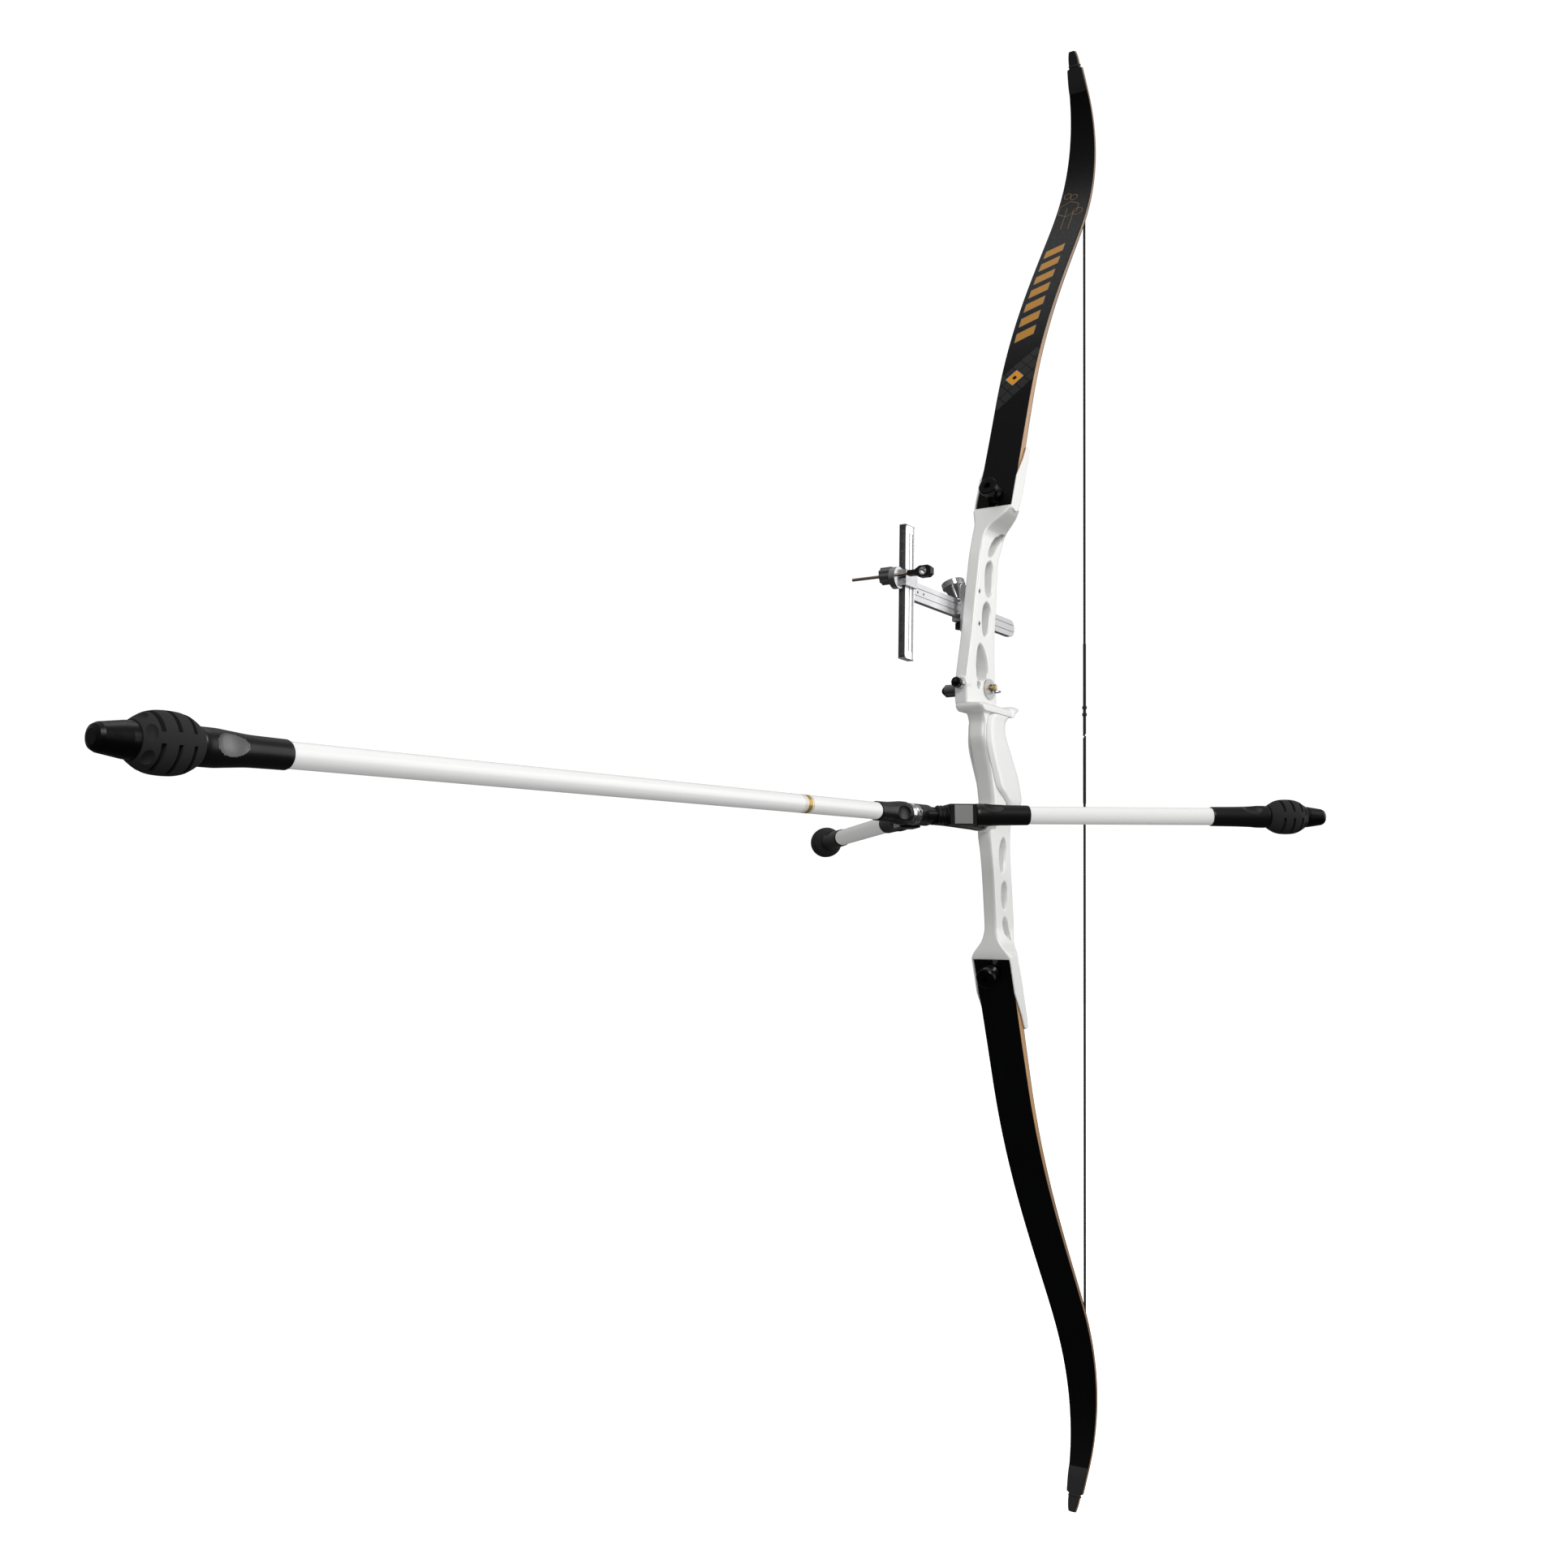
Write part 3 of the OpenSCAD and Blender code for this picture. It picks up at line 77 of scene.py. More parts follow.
class Shader:
    """Short hand for building one material's node tree."""

    def __init__(self, name: str) -> None:
        """Starts an empty principled material with the given name.

        Args:
            name: name of the material.
        """
        self.material = bpy.data.materials.new(name)
        self.material.use_nodes = True
        self.nodes = self.material.node_tree.nodes
        self.links = self.material.node_tree.links
        self.surface = self.nodes["Principled BSDF"]
        self.place = self.nodes.new("ShaderNodeTexCoord").outputs["Object"]

    def feed(self, socket: Socket, value: object) -> None:
        """Links a socket, or sets it where the value is a plain number or colour.

        Args:
            socket: input to set.
            value: socket, number or colour for it.
        """
        if isinstance(value, bpy.types.NodeSocket):
            self.links.new(value, socket)
        elif isinstance(value, tuple) and len(value) == 3 and socket.type == "RGBA":
            socket.default_value = (*value, 1.0)
        else:
            socket.default_value = value

    def set(self, **values: object) -> None:
        """Sets or links inputs of the principled shader, named with underscores."""
        for name, value in values.items():
            self.feed(self.surface.inputs[name.replace("_", " ")], value)

    def math(self, operation: str, *values: object) -> Socket:
        """Result of a math node.

        Args:
            operation: name of the math operation.
            values: numbers or sockets for its inputs.

        Returns:
            The node's output.
        """
        node = self.nodes.new("ShaderNodeMath")
        node.operation = operation
        for socket, value in zip(node.inputs, values):
            self.feed(socket, value)
        return node.outputs[0]

    def times(self, first: object, second: object) -> Socket:
        """Product of two numbers or sockets."""
        return self.math("MULTIPLY", first, second)

    def plus(self, first: object, second: object) -> Socket:
        """Sum of two numbers or sockets."""
        return self.math("ADD", first, second)

    def less(self, first: object, second: object) -> Socket:
        """First number or socket less the second."""
        return self.math("SUBTRACT", first, second)

    def most(self, first: object, second: object) -> Socket:
        """Larger of two numbers or sockets."""
        return self.math("MAXIMUM", first, second)

    def apart(self, first: object, second: object) -> Socket:
        """Distance between two numbers or sockets."""
        return self.math("ABSOLUTE", self.less(first, second))

    def stretch(self, vector: Socket, scale: Point, turn: Point = (0, 0, 0)) -> Socket:
        """Scales and turns a texture vector.

        Args:
            vector: texture vector.
            scale: scale along each axis.
            turn: turn about each axis, in radians.

        Returns:
            The new vector.
        """
        node = self.nodes.new("ShaderNodeMapping")
        self.feed(node.inputs["Vector"], vector)
        node.inputs["Scale"].default_value = scale
        node.inputs["Rotation"].default_value = turn
        return node.outputs[0]

    def noise(self, scale: float, detail: float = 3, rough: float = 0.55,
              vector: Optional[Socket] = None) -> Socket:
        """Grey noise; the scale is in features per metre unless a vector is given.

        Args:
            scale: features per unit of the vector.
            detail: number of finer layers.
            rough: weight of the finer layers.
            vector: texture vector, or None for metres.

        Returns:
            The noise, about 0.5 in the mean.
        """
        node = self.nodes.new("ShaderNodeTexNoise")
        self.feed(node.inputs["Vector"], vector or self.place)
        node.inputs["Scale"].default_value = scale
        node.inputs["Detail"].default_value = detail
        node.inputs["Roughness"].default_value = rough
        return node.outputs[0]

    def span(self, value: Socket, low: float, high: float, to_low: float, to_high: float) -> Socket:
        """Maps a value from one span to another, clamped.

        Args:
            value: value to map.
            low: value that gives the first result.
            high: value that gives the second result.
            to_low: first result.
            to_high: second result.

        Returns:
            The mapped value.
        """
        node = self.nodes.new("ShaderNodeMapRange")
        for socket, item in zip(node.inputs, (value, low, high, to_low, to_high)):
            self.feed(socket, item)
        return node.outputs[0]

    def mix(self, share: object, first: object, second: object) -> Socket:
        """Blend of two colours.

        Args:
            share: share of the second colour.
            first: first colour.
            second: second colour.

        Returns:
            The blended colour.
        """
        node = self.nodes.new("ShaderNodeMix")
        node.data_type = "RGBA"
        self.feed(node.inputs[0], share)
        self.feed(node.inputs[6], first)
        self.feed(node.inputs[7], second)
        return node.outputs[2]

    def bump(self, height: Socket, depth: float, strength: float = 1.0,
             under: Optional[Socket] = None) -> Socket:
        """Bump normal; the depth is in millimetres.

        Args:
            height: height from 0 to 1.
            depth: height of 1, in millimetres.
            strength: share of the bump that shows.
            under: bump that it lies on, if any.

        Returns:
            The normal.
        """
        node = self.nodes.new("ShaderNodeBump")
        node.inputs["Strength"].default_value = strength
        node.inputs["Distance"].default_value = depth * MM
        self.feed(node.inputs["Height"], height)
        if under is not None:
            self.feed(node.inputs["Normal"], under)
        return node.outputs[0]

    def edges(self, low: float = 0.52, high: float = 0.6) -> Socket:
        """Share of rubbed edge and painted edge highlight on outward edges."""
        node = self.nodes.new("ShaderNodeNewGeometry")
        return self.span(node.outputs["Pointiness"], low, high, 0.0, 1.0)

    def along(self, axis: Point) -> Socket:
        """Distance along a direction, in metres.

        Args:
            axis: unit direction.

        Returns:
            The distance.
        """
        node = self.nodes.new("ShaderNodeVectorMath")
        node.operation = "DOT_PRODUCT"
        self.feed(node.inputs[0], self.place)
        node.inputs[1].default_value = axis
        return node.outputs["Value"]

    def chart(self) -> tuple[Socket, Socket]:
        """The two surface coordinates that a piece carries: across, and along.

        Returns:
            Both coordinates, in metres.
        """
        source = self.nodes.new("ShaderNodeUVMap")
        source.uv_map = CHART
        split = self.nodes.new("ShaderNodeSeparateXYZ")
        self.feed(split.inputs[0], source.outputs[0])
        return split.outputs[0], split.outputs[1]

    def vector(self, x: object, y: object, z: object = 0.0) -> Socket:
        """A vector from three numbers or sockets.

        Args:
            x: first part.
            y: second part.
            z: third part.

        Returns:
            The vector.
        """
        node = self.nodes.new("ShaderNodeCombineXYZ")
        for socket, value in zip(node.inputs, (x, y, z)):
            self.feed(socket, value)
        return node.outputs[0]

    def inside(self, value: Socket, low: float, high: float, soft: float) -> Socket:
        """1 where a value lies between two limits, with soft edges.

        Args:
            value: value to test.
            low: lower limit.
            high: upper limit.
            soft: half width of the edges.

        Returns:
            The mask.
        """
        rise = self.span(value, low - soft, low + soft, 0.0, 1.0)
        fall = self.span(value, high - soft, high + soft, 1.0, 0.0)
        return self.times(rise, fall)


CHART = "chart"


@dataclass(frozen=True)
class Finish:
    """A surface finish that several pieces may share."""

    name: str
    slot: str

    def dress(self, s: Shader) -> None:
        """Builds the nodes; each kind of finish has its own."""
        raise NotImplementedError

    def material(self) -> bpy.types.Material:
        """The finish's material, made once.

        Returns:
            The material, the same one for equal names.
        """
        found = bpy.data.materials.get(self.name)
        if found is None:
            shader = Shader(self.name)
            self.dress(shader)
            found = shader.material
        return found


@dataclass(frozen=True)
class Coat(Finish):
    """Paint, anodising or moulded plastic: a colour with mottling, texture and rubbed edges that on the
    dark coats are lighter, partly as a painted edge highlight.
    """

    colour: Colour = (0.8, 0.8, 0.8)
    tint: Colour = (0.78, 0.78, 0.77)
    edge_wear_and_highlight: Colour = (0.6, 0.6, 0.6)
    gloss: tuple[float, float] = (0.3, 0.4)
    metal: float = 0.0
    mottle: float = 30
    grain: float = 1500
    depth: float = 0.01
    edge_wear_and_highlight_share: float = 0.0
    lacquer: float = 0.0
    level: float = 0.5

    def dress(self, s: Shader) -> None:
        """Mottled colour, uneven gloss, fine texture, and a second colour in patches on outward edges:
        rubbed edges, and on the dark coats a painted edge highlight.

        Args:
            s: the shader being built.
        """
        patches = s.noise(self.mottle, 4, 0.6)
        shade = s.mix(s.span(patches, 0.35, 0.65, 0.0, 1.0), self.colour, self.tint)
        # Outward edges take a second colour in noisy patches: rubbed edges, lighter on the dark coats as a
        # painted edge highlight.
        if self.edge_wear_and_highlight_share:
            scuffs_and_highlight = s.span(s.noise(self.mottle * 14, 5, 0.7), 0.45, 0.62, 0.0, self.edge_wear_and_highlight_share)
            shade = s.mix(s.times(s.edges(), scuffs_and_highlight), shade, self.edge_wear_and_highlight)
        fine = s.noise(self.grain, 2)
        rubbed = s.noise(self.mottle * 5, 5, 0.7, s.stretch(s.place, (1.0, 1.0, 0.35)))
        s.set(
            Base_Color=shade,
            Roughness=s.span(rubbed, 0.3, 0.7, *self.gloss),
            Metallic=self.metal,
            Specular_IOR_Level=self.level,
            Coat_Weight=self.lacquer,
            Coat_Roughness=0.12,
            Normal=s.bump(fine, self.depth),
        )


@dataclass(frozen=True)
class Turned(Finish):
    """Bright or dark metal from the lathe, with rings about its own axis."""

    colour: Colour = (0.6, 0.6, 0.62)
    dark: Colour = (0.35, 0.35, 0.36)
    gloss: tuple[float, float] = (0.16, 0.3)
    axis: Point = (1.0, 0.0, 0.0)
    pitch: float = 0.35
    depth: float = 0.006

    def dress(self, s: Shader) -> None:
        """Tool rings, stains in patches, and rubbed gloss.

        Args:
            s: the shader being built.
        """
        turns = s.times(s.along(self.axis), 2 * math.pi / (self.pitch * MM))
        drift = s.plus(turns, s.times(s.noise(160), 2.5))
        rings = s.math("SINE", drift)
        stains = s.noise(220, 5, 0.65)
        shade = s.mix(s.span(stains, 0.42, 0.7, 0.0, 0.75), self.colour, self.dark)
        s.set(
            Base_Color=shade,
            Metallic=1.0,
            Roughness=s.span(stains, 0.3, 0.7, *self.gloss),
            Normal=s.bump(rings, self.depth, 0.6, s.bump(s.noise(900), 0.004)),
        )


@dataclass(frozen=True)
class Drawn(Finish):
    """Flat metal with fine brushed lines along one direction."""

    colour: Colour = (0.62, 0.62, 0.64)
    dark: Colour = (0.5, 0.5, 0.52)
    gloss: tuple[float, float] = (0.28, 0.42)
    stretch: Point = (60.0, 2200.0, 2200.0)
    metal: float = 1.0

    def dress(self, s: Shader) -> None:
        """Brushed lines in colour, gloss and height.

        Args:
            s: the shader being built.
        """
        lines = s.noise(1.0, 3, 0.6, s.stretch(s.place, self.stretch))
        clouds = s.noise(60, 4)
        shade = s.mix(s.span(clouds, 0.35, 0.7, 0.0, 1.0), self.colour, self.dark)
        s.set(
            Base_Color=shade,
            Metallic=self.metal,
            Roughness=s.span(lines, 0.25, 0.75, *self.gloss),
            Normal=s.bump(lines, 0.008, 0.7),
        )


@dataclass(frozen=True)
class Rubber(Finish):
    """Soft black rubber with a dusty bloom and a fine moulded grain."""

    colour: Colour = (0.004, 0.004, 0.004)
    bloom: Colour = (0.012, 0.012, 0.0115)

    def dress(self, s: Shader) -> None:
        """Bloom in patches over a dull moulded skin.

        Args:
            s: the shader being built.
        """
        cloud = s.noise(90, 6, 0.7)
        grain = s.noise(2600, 3, 0.7)
        s.set(
            Base_Color=s.mix(s.span(cloud, 0.4, 0.7, 0.0, 1.0), self.colour, self.bloom),
            Roughness=s.span(grain, 0.3, 0.7, 0.46, 0.62),
            Specular_IOR_Level=0.22,
            Normal=s.bump(grain, 0.02, 0.8),
        )


@dataclass(frozen=True)
class Core(Finish):
    """Clear-coated limb core: a tan wedge at the butt that runs out into pale maple."""

    tan: Colour = (0.62, 0.36, 0.16)
    stripe: Colour = (0.44, 0.23, 0.09)
    pale: Colour = (0.27, 0.16, 0.09)
    seat: Colour = (0.006, 0.006, 0.006)
    seat_end: tuple[float, float] = (0.022, 0.024)
    wedge_end: tuple[float, float] = (0.17, 0.26)
    ply: float = 0.0026

    def dress(self, s: Shader) -> None:
        """Glued layers across the thickness, with grain along the limb.

        Args:
            s: the shader being built.
        """
        deep, along = s.chart()
        grain_at = s.vector(s.times(deep, 900.0), s.times(along, 22.0))
        grain = s.noise(1.0, 5, 0.6, grain_at)
        layer = s.math("SINE", s.times(deep, 2 * math.pi / self.ply))
        lines = s.span(layer, 0.82, 0.97, 0.0, 0.6)
        wedge = s.mix(s.span(grain, 0.35, 0.68, 0.0, 1.0), self.tan, self.stripe)
        wedge = s.mix(lines, wedge, self.stripe)
        maple = s.mix(s.span(grain, 0.4, 0.7, 0.0, 0.35), self.pale, self.tan)
        wood = s.mix(s.span(along, *self.wedge_end, 0.0, 1.0), wedge, maple)
        s.set(
            Base_Color=s.mix(s.span(along, *self.seat_end, 1.0, 0.0), wood, self.seat),
            Roughness=s.span(grain, 0.3, 0.7, 0.3, 0.42),
            Coat_Weight=0.35,
            Coat_Roughness=0.15,
            Normal=s.bump(grain, 0.03, 0.6),
        )


@dataclass(frozen=True)
class Skin(Finish):
    """Black outer laminate of a limb, with plain geometric decoration on the upper one."""

    decorated: bool = False
    black: Colour = (0.0015, 0.0015, 0.0016)
    sheen: Colour = (0.003, 0.003, 0.0032)
    square: Colour = (0.02, 0.0215, 0.02)
    amber: Colour = (0.62, 0.25, 0.02)
    gold: Colour = (0.42, 0.19, 0.02)
    rim: Colour = (0.30, 0.24, 0.17)
    line: Colour = (0.2, 0.11, 0.04)
    check_side: tuple[float, float] = (0.138, 0.186)
    check_run: tuple[float, float] = (0.1055, 0.219)
    check_start: tuple[float, float] = (0.1055, 0.1378)
    check_pitch: float = 0.0161
    check_joint: tuple[float, float] = (0.0004, 0.0011)
    square_at: tuple[float, float] = (0.1654, 0.1597)
    square_halves: tuple[float, float, float] = (0.0112, 0.0100, 0.0086)
    square_corner: float = 0.002
    square_longer: float = 0.0014
    square_dot: float = 0.0030
    bars: tuple[float, float] = (0.2155, 0.3835)
    bar_sides: tuple[float, float] = (-0.0072, 0.0138)
    bar_pitch: float = 0.012
    bar_gap: float = 0.005
    bar_rim: float = 0.0008
    bar_lean: float = 0.45
    blur: float = 0.0003
    fine: float = 0.0002
    stroke_half: float = 0.0003

    def dress(self, s: Shader) -> None:
        """Lengthwise fibre streaks under a satin clear coat.

        Args:
            s: the shader being built.
        """
        across, along = s.chart()
        fibre_at = s.vector(s.times(across, 1400.0), s.times(along, 12.0))
        fibre = s.noise(1.0, 4, 0.6, fibre_at)
        shade = s.mix(s.span(fibre, 0.35, 0.7, 0.0, 1.0), self.black, self.sheen)
        if self.decorated:
            side = s.plus(along, across)
            run = s.less(along, across)
            shade = self.amber_square(s, side, run, self.check_band(s, side, run, shade))
            shade = self.slanted_bars(s, across, along, shade)
            shade = s.mix(self.hexagon_lines(s, across, along), shade, self.line)
        dust = s.noise(260, 4, 0.7)
        s.set(
            Base_Color=shade,
            Roughness=s.span(dust, 0.35, 0.75, 0.36, 0.48),
            Specular_IOR_Level=0.12,
            Normal=s.bump(fibre, 0.01, 0.5),
        )

    def check_band(self, s: Shader, side: Socket, run: Socket, ground: Socket) -> Socket:
        """Slanting band of grey squares with dark joints.

        Args:
            s: the shader being built.
            side: distance along the limb plus the distance across it.
            run: distance along the limb less the distance across it.
            ground: colour under the band.

        Returns:
            The colour with the band.
        """
        band = s.times(s.inside(side, *self.check_side, self.blur),
                       s.inside(run, *self.check_run, self.blur))
        for item, start in zip((run, side), self.check_start):
            beat = s.math("PINGPONG", s.less(item, start), self.check_pitch / 2)
            band = s.times(band, s.span(beat, *self.check_joint, 0.0, 1.0))
        return s.mix(band, ground, self.square)

    def amber_square(self, s: Shader, side: Socket, run: Socket, ground: Socket) -> Socket:
        """Round-cornered amber square with a pale rim, a dark edge and a dark middle.

        Args:
            s: the shader being built.
            side: distance along the limb plus the distance across it.
            run: distance along the limb less the distance across it.
            ground: colour under it.

        Returns:
            The colour with the square.
        """
        wide, tall = (s.apart(item, middle) for item, middle in zip((side, run), self.square_at))
        reach = s.math("SMOOTH_MAX", wide, s.less(tall, self.square_longer), self.square_corner)
        shade = ground
        for half, colour in zip(self.square_halves, (self.black, self.rim, self.amber)):
            shade = s.mix(s.inside(reach, -1.0, half, self.blur), shade, colour)
        return s.mix(s.inside(s.most(wide, tall), -1.0, self.square_dot, self.blur), shade, self.black)

    def slanted_bars(self, s: Shader, across: Socket, along: Socket, ground: Socket) -> Socket:
        """Row of slanted gold bars with pale rims.

        Args:
            s: the shader being built.
            across: distance across the limb.
            along: distance along the limb.
            ground: colour under it.

        Returns:
            The colour with the bars.
        """
        lean = s.plus(along, s.times(across, self.bar_lean))
        start, end = self.bars
        low, high = self.bar_sides
        row = s.times(s.inside(lean, start, end, self.fine), s.inside(across, low, high, self.fine))
        beat = s.math("PINGPONG", s.less(lean, start), self.bar_pitch)
        rim = s.times(row, s.inside(beat, self.bar_gap, 1.0, self.fine))
        shade = s.mix(s.times(rim, 0.8), ground, self.rim)
        inner = s.times(s.inside(across, low + self.bar_rim, high - self.bar_rim, self.fine),
                        s.inside(beat, self.bar_gap + self.bar_rim, 1.0, self.fine))
        return s.mix(s.times(row, inner), shade, self.gold)

    def hexagon_lines(self, s: Shader, across: Socket, along: Socket) -> Socket:
        """Two lines along the limb with four hexagon outlines on them.

        Args:
            s: the shader being built.
            across: distance across the limb.
            along: distance along the limb.

        Returns:
            Mask of the lines.
        """
        shapes = [self.stroke(s, across, along, 0.0067, 0.413, 0.452),
                  self.stroke(s, across, along, -0.0027, 0.411, 0.437)]
        for u, v, radius in ((0.0048, 0.4495, 0.0132), (0.0102, 0.4725, 0.0046),
                             (0.0018, 0.4690, 0.0046), (-0.0078, 0.4420, 0.0066)):
            shapes.append(self.hexagon(s, across, along, u, v, radius))
        lines = shapes[0]
        for shape in shapes[1:]:
            lines = s.most(lines, shape)
        return lines

    def stroke(self, s: Shader, across: Socket, along: Socket, at: float, start: float,
               end: float) -> Socket:
        """Fine line along the limb."""
        width = s.inside(across, at - self.stroke_half, at + self.stroke_half, self.fine / 2)
        return s.times(width, s.inside(along, start, end, self.fine / 2))

    def hexagon(self, s: Shader, across: Socket, along: Socket, u: float, v: float,
                radius: float) -> Socket:
        """Outline of a hexagon with a corner towards the tip.

        Args:
            s: the shader being built.
            across: distance across the limb.
            along: distance along the limb.
            u: its middle across the limb.
            v: its middle along the limb.
            radius: distance of its corners.

        Returns:
            Mask of the outline.
        """
        p, q = s.apart(across, u), s.apart(along, v)
        flat = math.cos(math.radians(30))
        slant = s.plus(s.times(q, flat), s.times(p, 0.5))
        edge = radius * flat
        reach = s.most(slant, p)
        return s.inside(reach, edge - self.stroke_half, edge + self.stroke_half, self.fine / 2)


@dataclass(frozen=True)
class Thread(Finish):
    """Waxed string or tight serving: slanted strands, painted lighter on their crests as a highlight."""

    strand: float = 0.9
    lean: float = 3.0
    colour: Colour = (0.01, 0.01, 0.01)
    crest_highlight: Colour = (0.032, 0.031, 0.03)

    def dress(self, s: Shader) -> None:
        """Strands wound round the string by its own coordinates.

        Args:
            s: the shader being built.
        """
        height = s.along((0.0, 0.0, 1.0))
        sweep_x = s.times(s.along((1.0, 0.0, 0.0)), self.lean)
        sweep_y = s.times(s.along((0.0, 1.0, 0.0)), self.lean)
        coil = s.plus(height, s.plus(sweep_x, sweep_y))
        wound = s.math("SINE", s.times(coil, 2 * math.pi / (self.strand * MM)))
        fuzz = s.noise(4000, 3, 0.7)
        s.set(
            # Painted highlight: the crest of each strand is mixed towards a lighter colour.
            Base_Color=s.mix(s.span(wound, -0.2, 1.0, 0.0, 0.8), self.colour, self.crest_highlight),
            Roughness=s.span(fuzz, 0.3, 0.7, 0.45, 0.65),
            Specular_IOR_Level=0.4,
            Normal=s.bump(wound, 0.12, 0.8, s.bump(fuzz, 0.02)),
        )


@dataclass(frozen=True)
class Stage(Finish):
    """Plain white studio surface that glows a little, so that it has no seam."""

    colour: Colour = (0.9, 0.9, 0.9)
    glow: float = 0.75

    def dress(self, s: Shader) -> None:
        """Almost even white with a faint mottling.

        Args:
            s: the shader being built.
        """
        cloud = s.noise(1.5, 2)
        s.set(
            Base_Color=s.mix(s.span(cloud, 0.3, 0.7, 0.0, 1.0), self.colour, (0.91, 0.91, 0.91)),
            Roughness=0.9,
            Specular_IOR_Level=0.0,
            Emission_Color=(1.0, 1.0, 1.0),
            Emission_Strength=self.glow,
        )


@dataclass(frozen=True)
class PostFace(Finish):
    """Upright scale bar: a bright near face with a round-cornered dark margin and a grey rail."""

    bright: Colour = (0.86, 0.86, 0.87)
    grey: Colour = (0.4, 0.4, 0.41)
    dark: Colour = (0.07, 0.07, 0.072)
    front: float = -0.1525
    middle: float = 0.1095
    half: float = 0.0655
    near: float = 0.0258
    margin_front: float = 0.0010
    margin_end: float = 0.0006
    corner_r: float = 0.0042
    rail: tuple[float, float] = (0.0146, 0.0180)
    blur: float = 0.0002

    def dress(self, s: Shader) -> None:
        """Bands along the bar, with fine upright brushing.

        Args:
            s: the shader being built.
        """
        x, y, z = (s.along(axis) for axis in ((1.0, 0.0, 0.0), (0.0, 1.0, 0.0), (0.0, 0.0, 1.0)))
        lines = s.noise(1.0, 3, 0.6, s.stretch(s.place, (1800.0, 1800.0, 40.0)))
        radius, blur = self.corner_r, self.blur
        aside = s.most(s.less(self.front + self.margin_front + radius, x), 0.0)
        beyond = s.most(s.less(s.apart(z, self.middle), self.half - self.margin_end - radius), 0.0)
        corner = s.math("SQRT", s.plus(s.math("POWER", aside, 2.0), s.math("POWER", beyond, 2.0)))
        near = s.span(y, self.near, self.near + blur, 1.0, 0.0)
        rail = s.inside(x, *(self.front + at for at in self.rail), blur)
        shade = s.mix(rail, self.bright, self.grey)
        margin = s.times(near, s.span(corner, radius - blur, radius + blur, 0.0, 1.0))
        shade = s.mix(margin, shade, self.dark)
        s.set(
            Base_Color=shade,
            Metallic=0.75,
            Roughness=s.span(lines, 0.25, 0.75, 0.2, 0.32),
            Normal=s.bump(lines, 0.006, 0.6),
        )


# Edge colours here: on the white paint a darker rubbed edge; on the black and grey coats a lighter one
# that is partly a painted edge highlight.
WHITE_PAINT = Coat("white_paint", "white_paint", colour=(0.79, 0.79, 0.772), tint=(0.76, 0.76, 0.742),
    gloss=(0.34, 0.46), grain=1100, depth=0.012, edge_wear_and_highlight_share=0.25, edge_wear_and_highlight=(0.7, 0.69, 0.66), lacquer=0.1)
WHITE_GRIP = Coat("white_grip", "white_grip", colour=(0.8, 0.8, 0.785), tint=(0.78, 0.78, 0.765),
    gloss=(0.3, 0.42), grain=2400, depth=0.01)
WHITE_TUBE = Coat("white_tube", "white_tube", colour=(0.84, 0.84, 0.83), tint=(0.82, 0.82, 0.81),
    gloss=(0.16, 0.26), grain=500, depth=0.006, lacquer=0.5)
BLACK_ANODISED = Coat("black_anodised", "black_anodised", colour=(0.012, 0.012, 0.013),
    tint=(0.02, 0.02, 0.021), gloss=(0.3, 0.42), grain=3800, depth=0.012, edge_wear_and_highlight_share=0.5,
    edge_wear_and_highlight=(0.12, 0.12, 0.12), level=0.55)
GREY_ALLOY = Coat("grey_alloy", "grey_alloy", colour=(0.13, 0.13, 0.135), tint=(0.17, 0.17, 0.175),
    gloss=(0.28, 0.4), grain=3600, depth=0.012, edge_wear_and_highlight_share=0.6, edge_wear_and_highlight=(0.45, 0.45, 0.46), metal=0.85)
LIGHT_ALLOY = Drawn("light_alloy", "light_alloy", colour=(0.58, 0.58, 0.59), dark=(0.52, 0.52, 0.53),
    gloss=(0.34, 0.46), metal=0.8)
PLATE_GREY = Drawn("plate_grey", "plate_grey", colour=(0.55, 0.55, 0.54), dark=(0.47, 0.47, 0.465),
    gloss=(0.35, 0.5), metal=0.6)
CHROME = Turned("chrome", "chrome", colour=(0.8, 0.8, 0.81), dark=(0.5, 0.5, 0.51), gloss=(0.06, 0.14),
    axis=(0.0, 0.309017, 0.951057), pitch=0.6, depth=0.003)
STEEL_X = Turned("turned_steel", "steel", axis=(1.0, 0.0, 0.0))
BRONZE = Turned("screw_bronze", "screw_bronze", colour=(0.42, 0.32, 0.25), dark=(0.22, 0.16, 0.12),
    gloss=(0.3, 0.45), axis=(0.0, 1.0, 0.0), pitch=0.7, depth=0.09)
BRASS = Turned("nock_brass", "nock_brass", colour=(0.66, 0.42, 0.18), dark=(0.4, 0.24, 0.1),
    gloss=(0.24, 0.38), axis=(0.0, 1.0, 0.0))
RUBBER = Rubber("rubber", "rubber")
LIMB_CORE = Core("limb_core", "limb_wood")
SKIN_PLAIN = Skin("limb_skin_plain", "limb_skin")
SKIN_UPPER = Skin("limb_skin_upper", "limb_skin", decorated=True)
TIP_BLACK = Coat("tip_black", "tip_black", colour=(0.006, 0.006, 0.006), tint=(0.012, 0.012, 0.012),
    gloss=(0.32, 0.42), grain=1800, depth=0.008, level=0.25)
STRING = Thread("string_black", "string_black", strand=2.6, lean=2.2)
SERVING = Thread("serving_black", "serving_black", strand=0.45, lean=0.12, colour=(0.008, 0.008, 0.008))
GOLD_LINE = Coat("gold_line", "nock_brass", colour=(0.62, 0.42, 0.12), tint=(0.5, 0.33, 0.08),
    gloss=(0.25, 0.4), metal=0.6, mottle=200)
